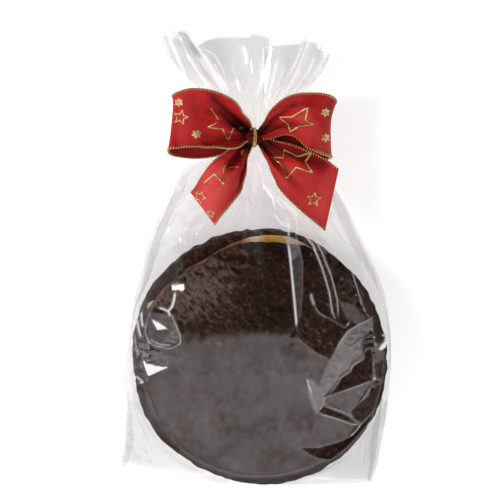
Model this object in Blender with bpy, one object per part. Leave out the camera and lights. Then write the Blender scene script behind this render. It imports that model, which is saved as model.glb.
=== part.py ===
"""Two chocolate-coated lebkuchen in a clear film bag, tied at the neck with a ribbon bow.

The bag lies on its back. +X is to the right of its front, +Y runs from its bottom edge to its open
frill, and +Z is up, out of its front. The origin is at the bottom centre of the whole, on the
surface that it lies on. Lengths are in metres.

Nodes:
  film_bag     the sealed bag as one solid: body round the two round biscuits, gathered neck, frill
  ribbon_bow   one wired ribbon: two loops and two tails, gathered in the middle
  gold_tie     the gold cord that holds the bow's middle and goes round the bag's neck
"""

import math

import bmesh
import bpy
import numpy as np
from mathutils import Matrix, Vector

MM = 0.001

# The two biscuits inside, which give the bag its shape.
BISCUIT_RADIUS = 0.0548
BISCUIT_CENTRE = (0.0014, -0.0435)
STACK_HEIGHT = 0.0355
CROWN = 0.0012  # how much the top biscuit's face falls from its middle to its rim
RIM_INSET = 0.0065  # from a biscuit's widest ring in to where its face begins

# The bag's neck, where it is gathered.
NECK_CENTRE = (-0.0010, 0.0570, 0.0140)
NECK_RADIUS = 0.0045
NECK_HALF_LENGTH = 0.0030
NECK_STAR = 0.0004  # how far the neck's gathers stand out and in
NECK_GATHERS = 9

# The bag's outline seen from the front: (y, x) in millimetres from the bottom corner to the neck.
LEFT_SIDE = [
    (-93.9, -59.7), (-85.5, -58.3), (-72.3, -57.5), (-62.4, -56.9), (-54.3, -58), (-40.9, -57.2),
    (-30.2, -55.4), (-18.9, -53.2), (-10.9, -50.5), (-0.4, -48.2), (10.1, -45.1), (18, -41.6),
    (28.4, -36.7), (38.9, -31), (46, -21), (50.5, -11.5), (54, -5.3),
]
RIGHT_SIDE = [
    (-104.4, 53.4), (-96.1, 55.4), (-83.2, 56.7), (-75, 57.5), (-58.6, 58.4), (-42.4, 58.6), (-31.5, 58.2),
    (-20.7, 56.9), (-12.6, 55.2), (-1.9, 50.6), (8.9, 45.4), (19.6, 40.7), (27.6, 36.2), (38.4, 27),
    (45, 16), (50.5, 8.2), (54, 3.3),
]
# The bottom edge: (share of the way across, y in millimetres).
BOTTOM_EDGE = [
    (0, -93.9), (0.11, -96.9), (0.28, -99.3), (0.38, -99.6), (0.52, -100.6), (0.66, -101.2), (0.94, -104.2),
    (1, -104.4),
]

# Heights of the fold between front panel and side, and between side and back, in millimetres.
FRONT_FOLD = [(-104, 6), (-90, 10), (-75, 17), (-45, 25), (-15, 22), (15, 20), (35, 18.5), (54, 15.5)]
BACK_FOLD = [(-104, 1), (-90, 1.2), (-75, 3), (-45, 6), (-15, 3.5), (15, 3), (35, 7), (54, 12.5)]
BOTTOM_FRONT_RISE = 0.0150  # how far the biscuits lift the middle of the front bottom edge
TUCK = [(-104, 1.5), (-82, 4), (-62, 1), (-45, 0.3), (-25, 1), (5, 5), (30, 5), (54, 0.5)]

# The frill above the neck: (share of its height, x in millimetres) of its edges, and its top edge.
FRILL_LEFT = [
    (0, -5.3), (0.12, -9.5), (0.25, -17), (0.36, -25), (0.475, -31.2), (0.62, -34), (0.76, -36.6),
    (0.89, -40.2), (1, -39.1),
]
FRILL_RIGHT = [(0, 3.3), (0.15, 7.5), (0.28, 14), (0.42, 21.2), (0.6, 26.3), (0.78, 29.8), (1, 32.6)]
FRILL_TOP = [
    (0, 98), (0.02, 99.7), (0.13, 99.2), (0.19, 93.4), (0.27, 95.7), (0.33, 96.6), (0.5, 96.5), (0.53, 98.3),
    (0.62, 96.1), (0.645, 92.4), (0.73, 93.1), (0.82, 93.5), (0.85, 96.1), (0.96, 92.1), (1, 88.7),
]
FRILL_MIDDLE = 0.0100  # height of the middle of the frill's mouth
FRILL_HALF_DEPTH = 0.0068

# Folds that run out of the neck: (share across, half width of the fold, height in millimetres).
FRONT_PLEATS = [(0.12, 0.05, 1.0), (0.25, 0.06, -1.2), (0.37, 0.05, 1.4), (0.52, 0.07, -1.1), (0.64, 0.05, 1.5), (0.76, 0.06, -1.0), (0.88, 0.05, 1.2)]
BACK_PLEATS = [(0.15, 0.07, 1.0), (0.33, 0.08, -1.0), (0.5, 0.07, 1.2), (0.68, 0.08, -1.0), (0.85, 0.07, 1.0)]
FRILL_PLEATS = [(0.08, 0.06, 2.2), (0.2, 0.08, -3.2), (0.38, 0.10, 2.0), (0.5, 0.05, -1.6), (0.58, 0.05, 2.2), (0.65, 0.05, -3.6), (0.78, 0.08, 2.4), (0.92, 0.06, -1.8)]

FRONT_COLUMNS = 34
BACK_COLUMNS = 26
TUCK_COLUMNS = 3
BODY_ROWS = 40
NECK_ROWS = 3
FRILL_ROWS = 14

# The bow.
RIBBON_WIDTH = 0.0250
RIBBON_THICKNESS = 0.0008
KNOT = (-1.6 * MM, 53.6 * MM, 24.4 * MM)
KNOT_HALF = (3.4 * MM, 4.2 * MM, 3.0 * MM)
BAND_COLUMNS = 10
GATHER_WAVES = 1.5  # folds across the ribbon where it is gathered
TIE_RADIUS = 0.0009
TIE_GAP = 0.0003

# Each band of the ribbon is a row of stations, in millimetres: its middle x, y and z, the width that
# it spreads to, the depth of its gathers, and how far its width leans out of the page, in degrees.
LEFT_LOOP = [
    (-3.6, 55.2, 25.2, 5.8, 0.4, 0), (-6.0, 56.2, 26.8, 9.8, 1.5, 2), (-11.0, 57.6, 31.0, 16.3, 2.0, 4),
    (-17.8, 60.2, 35.0, 22.6, 1.0, 4), (-25.8, 62.0, 36.2, 25, 0.2, 2), (-33.2, 62.3, 33.8, 25, 0, 0),
    (-37.4, 61.2, 28.6, 25, 0, 0), (-35.0, 58.6, 23.8, 25, 0, 0), (-27.0, 56.6, 21.6, 24.6, 0.2, -2),
    (-17.5, 55.4, 20.9, 20.6, 0.9, -3), (-9.4, 54.8, 21.6, 13.0, 1.2, -2), (-3.8, 54.4, 23.0, 6.2, 0.4, 0),
]
RIGHT_LOOP = [
    (0.6, 55.2, 25.2, 5.6, 0.4, 0), (3.4, 56.6, 27.2, 9.0, 1.5, 3), (8.6, 58.8, 31.2, 11.5, 2.2, 6),
    (14.3, 60.4, 34.6, 15.5, 2.0, 6), (20.0, 60.8, 36.8, 20.0, 1.2, 4), (26.0, 60.0, 36.4, 24.2, 0.3, 2),
    (30.2, 58.2, 32.8, 25, 0, 0), (31.4, 56.8, 28.0, 25, 0, 0), (28.6, 55.4, 23.2, 25, 0, 0),
    (21.5, 54.8, 21.2, 22.5, 0.6, -2), (12.0, 54.6, 21.4, 16.0, 1.2, -2), (5.0, 54.6, 22.2, 10.2, 1.0, 0),
    (0.6, 54.4, 23.0, 6.0, 0.4, 0),
]
LEFT_TAIL = [
    (-3.7, 52.4, 24.2, 4.2, 0.3, 0), (-7.3, 48.0, 25.6, 7.8, 1.2, -6), (-10.6, 42.2, 28.2, 14.0, 1.6, -14),
    (-14.8, 35.6, 31.8, 20.5, 0.9, -26), (-19.6, 29.4, 33.5, 24.2, 0.2, -37), (-24.4, 23.2, 34.2, 25, 0, -42),
]
RIGHT_TAIL = [
    (0.5, 52.4, 24.2, 4.2, 0.3, 0), (4.7, 48.8, 26.2, 8.4, 1.2, -4), (9.6, 44.6, 29.6, 15.5, 1.7, -8),
    (16.2, 39.2, 32.2, 21.5, 0.8, -10), (24.0, 33.0, 33.0, 24.8, 0.1, -10), (31.2, 27.0, 32.0, 25, 0, -8),
]
LOOP_ROWS = 38
TAIL_ROWS = 18
LEFT_CUT = 0.0030  # half of how much further the tail's inner edge reaches than its outer edge
RIGHT_CUT = 0.0055


def clear_scene():
    for obj in list(bpy.data.objects):
        bpy.data.objects.remove(obj)


def through(points, at):
    """The values at the given places of a smooth curve through (place, value) pairs."""
    place, value = np.array(points, float).T
    slope = np.gradient(value, place)
    at = np.clip(at, place[0], place[-1])
    i = np.clip(np.searchsorted(place, at, side="right") - 1, 0, len(place) - 2)
    gap = place[i + 1] - place[i]
    t = (at - place[i]) / gap
    return (
        value[i] * (1 + 2 * t) * (1 - t) ** 2
        + slope[i] * gap * t * (1 - t) ** 2
        + value[i + 1] * t * t * (3 - 2 * t)
        - slope[i + 1] * gap * t * t * (1 - t)
    )


def ease(t):
    t = np.clip(t, 0, 1)
    return t * t * (3 - 2 * t)


def folds(pleats, share):
    """The height, in metres, of a row of sharp folds across the bag."""
    total = np.zeros_like(share)
    for middle, half_width, height in pleats:
        total += height * MM * np.clip(1 - np.abs(share - middle) / half_width, 0, 1)
    return total


class Outline:
    """The bag's outline round the biscuits' middle, by direction."""

    def __init__(self):
        left_y = np.linspace(LEFT_SIDE[0][0], LEFT_SIDE[-1][0], 60)
        right_y = np.linspace(RIGHT_SIDE[0][0], RIGHT_SIDE[-1][0], 60)
        across = np.linspace(0, 1, 40)
        corners = LEFT_SIDE[0][1], RIGHT_SIDE[0][1]
        x = np.concatenate([through(LEFT_SIDE, left_y), through(RIGHT_SIDE, right_y), np.interp(across, (0, 1), corners)])
        bottom_y = np.interp(across, *np.array(BOTTOM_EDGE).T)
        y = np.concatenate([left_y, right_y, bottom_y])
        rise = np.concatenate([np.zeros(120), np.sin(np.pi * across) * BOTTOM_FRONT_RISE])
        dx, dy = x * MM - BISCUIT_CENTRE[0], y * MM - BISCUIT_CENTRE[1]
        order = np.argsort(np.arctan2(dy, dx))
        self.angle = np.arctan2(dy, dx)[order]
        self.reach = np.hypot(dx, dy)[order]
        self.front = (through(FRONT_FOLD, y) * MM + rise)[order]
        self.back = (through(BACK_FOLD, y) * MM)[order]

    def at(self, x, y):
        """(distance from the middle, distance of the outline that way, front fold's height, back fold's)."""
        dx, dy = x - BISCUIT_CENTRE[0], y - BISCUIT_CENTRE[1]
        angle = np.arctan2(dy, dx)
        looked_up = [np.interp(angle, self.angle, v, period=2 * math.pi) for v in (self.reach, self.front, self.back)]
        return np.hypot(dx, dy), *looked_up


def front_height(outline, x, y):
    """The film lies on the top biscuit's crown and runs straight from its rim to the bag's folds."""
    distance, reach, fold, _ = outline.at(x, y)
    rim = BISCUIT_RADIUS - RIM_INSET
    crown = STACK_HEIGHT - CROWN * np.minimum(distance / rim, 1) ** 2
    away = np.clip((distance - rim) / np.maximum(reach - rim, 1e-6), 0, 1)
    return crown + (fold - (STACK_HEIGHT - CROWN)) * away


def back_height(outline, x, y):
    distance, reach, _, fold = outline.at(x, y)
    rim = BISCUIT_RADIUS - RIM_INSET
    away = np.clip((distance - rim) / np.maximum(reach - rim, 1e-6), 0, 1)
    return fold * away


def columns():
    """The bag's columns in order round it: (panel, share across from left to right, share of the tuck)."""
    found = [("front", share, 0.0) for share in np.linspace(0, 1, FRONT_COLUMNS)]
    found += [("side", 1.0, share) for share in np.linspace(0, 1, TUCK_COLUMNS + 2)[1:-1]]
    found += [("back", share, 0.0) for share in np.linspace(1, 0, BACK_COLUMNS)]
    found += [("side", 0.0, share) for share in np.linspace(1, 0, TUCK_COLUMNS + 2)[1:-1]]
    return found


def neck_point(panel, share, tuck, y):
    """A point of the gathered neck: a star-shaped ring."""
    side_angle = math.radians(14)
    if panel == "front":
        angle = math.pi - side_angle - share * (math.pi - 2 * side_angle)
    elif panel == "back":
        angle = math.pi + side_angle + share * (math.pi - 2 * side_angle)
    else:
        angle = (1 - share) * math.pi + (1 if share == 0 else -1) * side_angle * (2 * tuck - 1)
    radius = NECK_RADIUS + NECK_STAR * math.cos(NECK_GATHERS * angle)
    return NECK_CENTRE[0] + radius * math.cos(angle), y, NECK_CENTRE[2] + radius * math.sin(angle)


def body_point(outline, panel, share, tuck, up):
    """A point of the bag's body. up is 0 at the bottom edge and 1 at the neck."""
    neck_y = (NECK_CENTRE[1] - NECK_HALF_LENGTH) / MM
    left_y = BOTTOM_EDGE[0][1] + (neck_y - BOTTOM_EDGE[0][1]) * up
    right_y = BOTTOM_EDGE[-1][1] + (neck_y - BOTTOM_EDGE[-1][1]) * up
    left_x, right_x = through(LEFT_SIDE, left_y), through(RIGHT_SIDE, right_y)
    bottom_y = np.interp(share, *np.array(BOTTOM_EDGE).T)
    x = (left_x + (right_x - left_x) * share) * MM
    y = (bottom_y + (neck_y - bottom_y) * up) * MM
    shoulder = ease((up - 0.62) / 0.2) * ease((1.02 - up) / 0.12)
    front, back = front_height(outline, x, y), back_height(outline, x, y)
    if panel == "front":
        z = front + folds(FRONT_PLEATS, np.array(share)) * shoulder
    elif panel == "back":
        z = back + folds(BACK_PLEATS, np.array(share)) * shoulder * min(1.0, back / (2 * MM))
    else:
        inwards = through(TUCK, y / MM) * MM * math.sin(math.pi * tuck)
        x += inwards * (1 if share == 0 else -1)
        z = front + (back - front) * tuck
    gathered = ease((up - 0.9) / 0.1)
    return tuple(np.array((x, y, z)) * (1 - gathered) + np.array(neck_point(panel, share, tuck, y)) * gathered)


def frill_point(panel, share, tuck, up):
    """A point of the frill. up is 0 at the neck and 1 at the top edge."""
    neck_y = NECK_CENTRE[1] + NECK_HALF_LENGTH
    left_x, right_x = through(FRILL_LEFT, up), through(FRILL_RIGHT, up)
    top_y = np.interp(share, *np.array(FRILL_TOP).T) * MM
    x = (left_x + (right_x - left_x) * share) * MM
    y = neck_y + (top_y - neck_y) * up
    spread = ease(up / 0.5)
    middle = NECK_CENTRE[2] + (FRILL_MIDDLE - NECK_CENTRE[2]) * spread
    depth = NECK_RADIUS + (FRILL_HALF_DEPTH - NECK_RADIUS) * spread
    bulge = depth * (0.25 + 0.75 * (1 - abs(2 * share - 1) ** 2.5))
    fold = folds(FRILL_PLEATS, np.array(share)) * spread
    if panel == "front":
        z = middle + bulge + fold
    elif panel == "back":
        z = middle - bulge + 0.35 * fold
    else:
        z = middle + bulge * (1 - 2 * tuck)
        x += 2 * MM * math.sin(math.pi * tuck) * spread * (1 if share == 0 else -1)
    gathered = 1 - ease(up / 0.16)
    return tuple(np.array((x, y, z)) * (1 - gathered) + np.array(neck_point(panel, share, tuck, y)) * gathered)


def loft(name, rings, pairs):
    """A closed mesh through rings of points, with each end closed by faces between paired columns."""
    shape = bmesh.new()
    rows = [[shape.verts.new(point) for point in ring] for ring in rings]
    for low, high in zip(rows, rows[1:]):
        for i, corner in enumerate(low):
            j = (i + 1) % len(low)
            shape.faces.new((corner, low[j], high[j], high[i]))
    for row, turned in ((rows[0], True), (rows[-1], False)):
        for a, b, c, d in pairs:
            corners = [row[i] for i in dict.fromkeys((a, b, c, d))]
            shape.faces.new(corners[::-1] if turned else corners)
    bmesh.ops.recalc_face_normals(shape, faces=shape.faces)
    mesh = bpy.data.meshes.new(name)
    shape.to_mesh(mesh)
    shape.free()
    obj = bpy.data.objects.new(name, mesh)
    bpy.context.scene.collection.objects.link(obj)
    return obj


def end_pairs():
    """Faces that close a ring, across from the front columns to the nearest back columns."""
    found = columns()
    front = [i for i, column in enumerate(found) if column[0] == "front"]
    behind = [front[0], *range(len(found) - 1, front[-1], -1)]
    pairs = []
    a, b = 0, 0
    while a < len(front) - 1 or b < len(behind) - 1:
        next_a, next_b = min(a + 1, len(front) - 1), min(b + 1, len(behind) - 1)
        share_a, share_b = next_a / (len(front) - 1), next_b / (len(behind) - 1)
        step_a = a < len(front) - 1 and (share_a <= share_b or b == len(behind) - 1)
        step_b = b < len(behind) - 1 and (share_b <= share_a or a == len(front) - 1)
        quad = (front[a], front[next_a if step_a else a], behind[next_b if step_b else b], behind[b])
        if len(set(quad)) > 2:
            pairs.append(quad)
        a, b = (next_a if step_a else a), (next_b if step_b else b)
    return pairs


def film_bag():
    outline = Outline()
    found = columns()
    rings = [
        [body_point(outline, *column, up) for column in found]
        for up in np.linspace(0, 1, BODY_ROWS, endpoint=False)
    ]
    neck_y = NECK_CENTRE[1] - NECK_HALF_LENGTH
    for y in np.linspace(neck_y, neck_y + 2 * NECK_HALF_LENGTH, NECK_ROWS):
        rings.append([neck_point(*column, y) for column in found])
    for up in np.linspace(0, 1, FRILL_ROWS + 1)[1:]:
        rings.append([frill_point(*column, up) for column in found])
    return loft("film_bag", rings, end_pairs())


def band(name, stations, rows, cut=0.0):
    """One band of the ribbon as a thin sheet, given its thickness by a Solidify modifier."""
    table = np.array(stations, float)
    length = np.concatenate([[0], np.cumsum(np.linalg.norm(np.diff(table[:, :3], axis=0), axis=1))])
    at = np.linspace(0, length[-1], rows)
    x, y, z, width, depth, lean = [through(list(zip(length, column)), at) for column in table.T]
    middle = np.stack([x, y, z], axis=1) * MM
    along = np.gradient(middle, axis=0)
    along /= np.linalg.norm(along, axis=1)[:, None]
    shape = bmesh.new()
    grid = []
    for row in range(rows):
        forward = Vector(along[row])
        upright = Vector((0, math.cos(math.radians(lean[row])), math.sin(math.radians(lean[row]))))
        across = (upright - forward * upright.dot(forward)).normalized()
        outwards = across.cross(forward)
        line = []
        for share in np.linspace(-1, 1, BAND_COLUMNS + 1):
            wave = math.cos(GATHER_WAVES * math.pi * (share + 1)) * depth[row] * MM
            slant = forward * (-share * cut * ease((at[row] / at[-1] - 0.5) / 0.5))
            point = Vector(middle[row]) + across * (share * width[row] * MM / 2) + outwards * wave + slant
            line.append(shape.verts.new(point))
        grid.append(line)
    for low, high in zip(grid, grid[1:]):
        for i in range(BAND_COLUMNS):
            shape.faces.new((low[i], low[i + 1], high[i + 1], high[i]))
    mesh = bpy.data.meshes.new(name)
    shape.to_mesh(mesh)
    shape.free()
    obj = bpy.data.objects.new(name, mesh)
    bpy.context.scene.collection.objects.link(obj)
    thick = obj.modifiers.new("thickness", "SOLIDIFY")
    thick.thickness = RIBBON_THICKNESS
    thick.offset = 0
    return obj


def applied(obj):
    """The object's mesh with its modifiers applied."""
    graph = bpy.context.evaluated_depsgraph_get()
    mesh = bpy.data.meshes.new_from_object(obj.evaluated_get(graph))
    obj.modifiers.clear()
    obj.data = mesh
    return obj


def join_all(base, others):
    """base with the other objects joined to it by one Boolean union. They are removed afterwards."""
    group = bpy.data.collections.new("joined")
    for obj in others:
        group.objects.link(obj)
    union = base.modifiers.new("union", "BOOLEAN")
    union.operation = "UNION"
    union.operand_type = "COLLECTION"
    union.collection = group
    union.solver = "EXACT"
    applied(base)
    for obj in others:
        bpy.data.objects.remove(obj)
    bpy.data.collections.remove(group)
    return base


def ribbon_bow():
    shape = bmesh.new()
    bmesh.ops.create_uvsphere(shape, u_segments=20, v_segments=12, radius=1)
    bmesh.ops.scale(shape, vec=KNOT_HALF, verts=shape.verts)
    bmesh.ops.translate(shape, vec=KNOT, verts=shape.verts)
    mesh = bpy.data.meshes.new("ribbon_bow")
    shape.to_mesh(mesh)
    shape.free()
    knot = bpy.data.objects.new("ribbon_bow", mesh)
    bpy.context.scene.collection.objects.link(knot)
    bands = [
        band("left_loop", LEFT_LOOP, LOOP_ROWS),
        band("right_loop", RIGHT_LOOP, LOOP_ROWS),
        band("left_tail", LEFT_TAIL, TAIL_ROWS, LEFT_CUT),
        band("right_tail", RIGHT_TAIL, TAIL_ROWS, RIGHT_CUT),
    ]
    return join_all(knot, [applied(obj) for obj in bands])


def ring_cord(name, middle, axis_a, axis_b):
    """A closed loop of cord on an ellipse with these two half axes."""
    curve = bpy.data.curves.new(name, "CURVE")
    curve.dimensions = "3D"
    curve.bevel_depth = TIE_RADIUS
    curve.bevel_resolution = 2
    points = 28
    spline = curve.splines.new("POLY")
    spline.points.add(points - 1)
    spline.use_cyclic_u = True
    for i, point in enumerate(spline.points):
        angle = 2 * math.pi * i / points
        place = Vector(middle) + Vector(axis_a) * math.cos(angle) + Vector(axis_b) * math.sin(angle)
        point.co = (*place, 1)
    obj = bpy.data.objects.new(name, curve)
    bpy.context.scene.collection.objects.link(obj)
    graph = bpy.context.evaluated_depsgraph_get()
    mesh = bpy.data.meshes.new_from_object(obj.evaluated_get(graph))
    bpy.data.objects.remove(obj)
    made = bpy.data.objects.new(name, mesh)
    bpy.context.scene.collection.objects.link(made)
    return made


def gold_tie():
    """One loop up and over the bow's middle, joined behind it to one loop round the bag's neck."""
    clear = TIE_GAP + TIE_RADIUS
    over_bow = ring_cord(
        "gold_tie", KNOT, (0, KNOT_HALF[1] + clear, 0), (0, 0, KNOT_HALF[2] + clear)
    )
    round_neck = NECK_RADIUS + NECK_STAR + clear
    neck_loop = ring_cord(
        "neck_loop", (NECK_CENTRE[0], KNOT[1] + 2.2 * MM, NECK_CENTRE[2]), (round_neck, 0, 0), (0, 0, round_neck)
    )
    return join_all(over_bow, [neck_loop])


def finish(obj, name, colour, roughness, metallic=0.0, alpha=1.0):
    """Gives the object its own plain material, and shades it smooth except at sharp folds."""
    material = bpy.data.materials.new(name)
    material.use_nodes = True
    shader = material.node_tree.nodes["Principled BSDF"]
    shader.inputs["Base Color"].default_value = (*colour, 1)
    shader.inputs["Roughness"].default_value = roughness
    shader.inputs["Metallic"].default_value = metallic
    shader.inputs["Alpha"].default_value = alpha
    obj.data.materials.clear()
    obj.data.materials.append(material)
    obj.data.shade_smooth()
    obj.data.set_sharp_from_angle(angle=math.radians(35))


def centre_on_origin(parts):
    """Moves the parts together, so that the origin is under the middle of their common box."""
    points = np.array([vertex.co for obj in parts for vertex in obj.data.vertices])
    low, high = points.min(axis=0), points.max(axis=0)
    shift = (-(low[0] + high[0]) / 2, -(low[1] + high[1]) / 2, -low[2])
    for obj in parts:
        obj.data.transform(Matrix.Translation(shift))


def main():
    clear_scene()
    film, ribbon, tie = film_bag(), ribbon_bow(), gold_tie()
    centre_on_origin((film, ribbon, tie))
    finish(film, "clear_film", (0.80, 0.80, 0.80), 0.10, alpha=0.35)
    finish(ribbon, "red_ribbon", (0.50, 0.02, 0.025), 0.45)
    finish(tie, "gold_cord", (0.62, 0.42, 0.10), 0.30, metallic=1.0)


main()
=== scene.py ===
"""The looks of the lebkuchen bag: clear film with its two biscuits, a printed ribbon bow and its gold tie.

Shapes are worked out in millimetres in the bag's own axes: X to the right, Y towards the frill, Z up.
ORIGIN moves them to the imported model's frame. Places on the front that matter are given as marks, in the
units of the front view: 500 across and down, MARK_MM millimetres each at the aim point.
"""

import math

import bmesh
import bpy
import numpy as np
from mathutils import Matrix, Vector, noise


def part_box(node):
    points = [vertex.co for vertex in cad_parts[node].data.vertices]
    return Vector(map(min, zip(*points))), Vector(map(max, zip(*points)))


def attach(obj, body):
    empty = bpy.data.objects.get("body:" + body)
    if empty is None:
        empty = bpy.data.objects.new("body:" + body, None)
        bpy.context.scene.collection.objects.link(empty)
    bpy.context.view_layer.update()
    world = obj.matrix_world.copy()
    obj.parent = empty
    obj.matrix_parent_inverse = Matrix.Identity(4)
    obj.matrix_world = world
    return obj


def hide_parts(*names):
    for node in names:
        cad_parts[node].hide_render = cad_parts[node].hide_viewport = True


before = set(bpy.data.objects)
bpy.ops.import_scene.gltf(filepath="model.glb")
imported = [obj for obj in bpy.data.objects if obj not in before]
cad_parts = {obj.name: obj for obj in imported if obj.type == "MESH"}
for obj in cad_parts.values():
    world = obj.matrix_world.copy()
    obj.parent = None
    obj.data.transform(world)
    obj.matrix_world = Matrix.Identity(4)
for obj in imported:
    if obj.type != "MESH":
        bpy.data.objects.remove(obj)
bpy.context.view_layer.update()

MM = 0.001
MARK_MM = 0.4386
VIEW_MARKS = 500
BAG_LEFT, BAG_LOW = -59.7, -104.4
FILM_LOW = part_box("film_bag")[0]
ORIGIN = np.array([FILM_LOW.x / MM - BAG_LEFT, FILM_LOW.y / MM - BAG_LOW, 0.0])
FRONT_Z = 34.0  # the height at which marks on the front film are taken

# Camera: it looks down at the bag, leaning a little towards the frill and the left side.
AIM = np.array([0.0, 0.0, 15.0])
AIM_MARK = (256.0, 257.5)
LEAN_X, LEAN_Y = math.radians(5), math.radians(8)
CAMERA_DISTANCE = 900.0
BACK = np.array([-math.sin(LEAN_X), math.sin(LEAN_Y), 1.0])
BACK /= np.linalg.norm(BACK)
RIGHT = np.cross([0, 1, 0], BACK)
RIGHT /= np.linalg.norm(RIGHT)
UP = np.cross(BACK, RIGHT)
EYE = AIM + BACK * CAMERA_DISTANCE


def spot(mark_x, mark_y, z=FRONT_Z):
    """The x, y in the bag's axes of the point at height z that the front view shows at a mark."""
    across, upwards = (mark_x - AIM_MARK[0]) * MARK_MM, (AIM_MARK[1] - mark_y) * MARK_MM
    ray = RIGHT * across + UP * upwards - BACK * CAMERA_DISTANCE
    return (EYE + ray * ((z - EYE[2]) / ray[2]))[:2]


def spots(marks, z=FRONT_Z):
    return np.array([spot(x, y, z) for x, y in marks])


def marks_of(points):
    """Where the front view shows an array of points."""
    away = points - EYE
    scale = CAMERA_DISTANCE / MARK_MM / -(away @ BACK)
    return np.stack([AIM_MARK[0] + away @ RIGHT * scale, AIM_MARK[1] - away @ UP * scale], axis=-1)


# ---------------------------------------------------------------- small helpers


def through(points, at):
    """The values at the given places of a smooth curve through (place, value) pairs."""
    place, value = np.array(points, float).T
    slope = np.gradient(value, place)
    at = np.clip(at, place[0], place[-1])
    i = np.clip(np.searchsorted(place, at, side="right") - 1, 0, len(place) - 2)
    gap = place[i + 1] - place[i]
    t = (at - place[i]) / gap
    return (
        value[i] * (1 + 2 * t) * (1 - t) ** 2
        + slope[i] * gap * t * (1 - t) ** 2
        + value[i + 1] * t * t * (3 - 2 * t)
        - slope[i + 1] * gap * t * t * (1 - t)
    )


def ease(t):
    t = np.clip(t, 0, 1)
    return t * t * (3 - 2 * t)


def window(value, start, rise, end, fall):
    """Eases in over rise from start, and out again over fall up to end."""
    return ease((value - start) / rise) * ease((end - value) / fall)


def bell(distance, width, power=2, steepness=1.0):
    """1 at distance 0, falling smoothly towards 0 past the width."""
    return np.exp(-steepness * np.abs(distance / width) ** power)


def unit(vectors):
    return vectors / np.linalg.norm(vectors, axis=-1, keepdims=True)


def lengths_along(line):
    """The length from a line's start to each of its points."""
    return np.concatenate([[0], np.cumsum(np.linalg.norm(np.diff(line, axis=0), axis=1))])


def noise_grid(scale, seed, u, v, w=0.0):
    """Blender's noise, about -1 to 1, where arrays give the coordinates. scale is the size of a bump."""
    u, v, w = np.broadcast_arrays(u, v, w)
    shift = np.array([seed * 17.31, seed * -9.73, seed * 5.17])
    points = np.stack([u, v, w], axis=-1).reshape(-1, 3) / scale + shift
    return np.array([noise.noise(Vector(p)) for p in points.tolist()]).reshape(u.shape)


def link(name, data):
    obj = bpy.data.objects.new(name, data)
    bpy.context.scene.collection.objects.link(obj)
    return obj


def grid_mesh(name, points, closed=False, uv=None, **values):
    """A mesh on a grid of points (rows, columns, 3) in millimetres, with each value as an attribute."""
    rows, columns = points.shape[:2]
    place = ((points + ORIGIN) * MM).reshape(-1, 3)
    steps = np.arange(rows - 1), np.arange(columns if closed else columns - 1)
    i, j = (grid.ravel() for grid in np.meshgrid(*steps, indexing="ij"))
    i2, j2 = i + 1, (j + 1) % columns
    faces = np.stack([i * columns + j, i * columns + j2, i2 * columns + j2, i2 * columns + j], axis=1)
    mesh = bpy.data.meshes.new(name)
    mesh.from_pydata(place.tolist(), [], faces.tolist())
    if uv is not None:
        corners = np.array(uv, np.float32).reshape(-1, 2)[faces.ravel()]
        mesh.uv_layers.new(name="flat").data.foreach_set("uv", corners.ravel())
    for key, value in values.items():
        attribute = mesh.attributes.new(key, "FLOAT", "POINT")
        attribute.data.foreach_set("value", np.array(value, np.float32).ravel())
    mesh.shade_smooth()
    return link(name, mesh)


def weld(obj):
    """Joins the points that a grid repeats at a disc's middle, and turns the faces outwards."""
    shape = bmesh.new()
    shape.from_mesh(obj.data)
    bmesh.ops.remove_doubles(shape, verts=shape.verts, dist=1e-6)
    bmesh.ops.recalc_face_normals(shape, faces=shape.faces)
    shape.to_mesh(obj.data)
    shape.free()
    obj.data.shade_smooth()
    return obj


def thicken(obj, thickness):
    solid = obj.modifiers.new("thickness", "SOLIDIFY")
    solid.thickness = thickness * MM
    solid.offset = 0
    return obj


def directions(path, closed):
    """The direction of a path at each of its points."""
    ahead = np.roll(path, -1, axis=0) - np.roll(path, 1, axis=0)
    if not closed:
        ahead[0], ahead[-1] = path[1] - path[0], path[-1] - path[-2]
    return unit(ahead)


class Tubes:
    """Gathers many tubes into one mesh."""

    def __init__(self):
        self.points, self.faces = [], []
        self.count = 0

    def add(self, path, radius, sides=6, closed=False):
        path = np.array(path, float)
        angles = np.linspace(0, 2 * math.pi, sides, endpoint=False)[:, None]
        ahead = directions(path, closed)
        side = unit(np.cross(ahead[0], [0.13, 0.27, 0.95]))
        for p, d in zip(path, ahead):
            side = unit(side - d * side.dot(d))
            ring = p + radius * (np.cos(angles) * side + np.sin(angles) * np.cross(d, side))
            self.points.append(ring)
        n, start = len(path), self.count
        for a in range(n if closed else n - 1):
            low, high = start + a * sides, start + (a + 1) % n * sides
            for s in range(sides):
                t = (s + 1) % sides
                self.faces.append((low + s, low + t, high + t, high + s))
        if not closed:
            self.faces.append(tuple(start + s for s in range(sides))[::-1])
            self.faces.append(tuple(start + (n - 1) * sides + s for s in range(sides)))
        self.count += n * sides

    def make(self, name):
        mesh = bpy.data.meshes.new(name)
        place = (np.concatenate(self.points) + ORIGIN) * MM
        mesh.from_pydata(place.tolist(), [], self.faces)
        mesh.shade_smooth()
        return link(name, mesh)


# ---------------------------------------------------------------- materials


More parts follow.
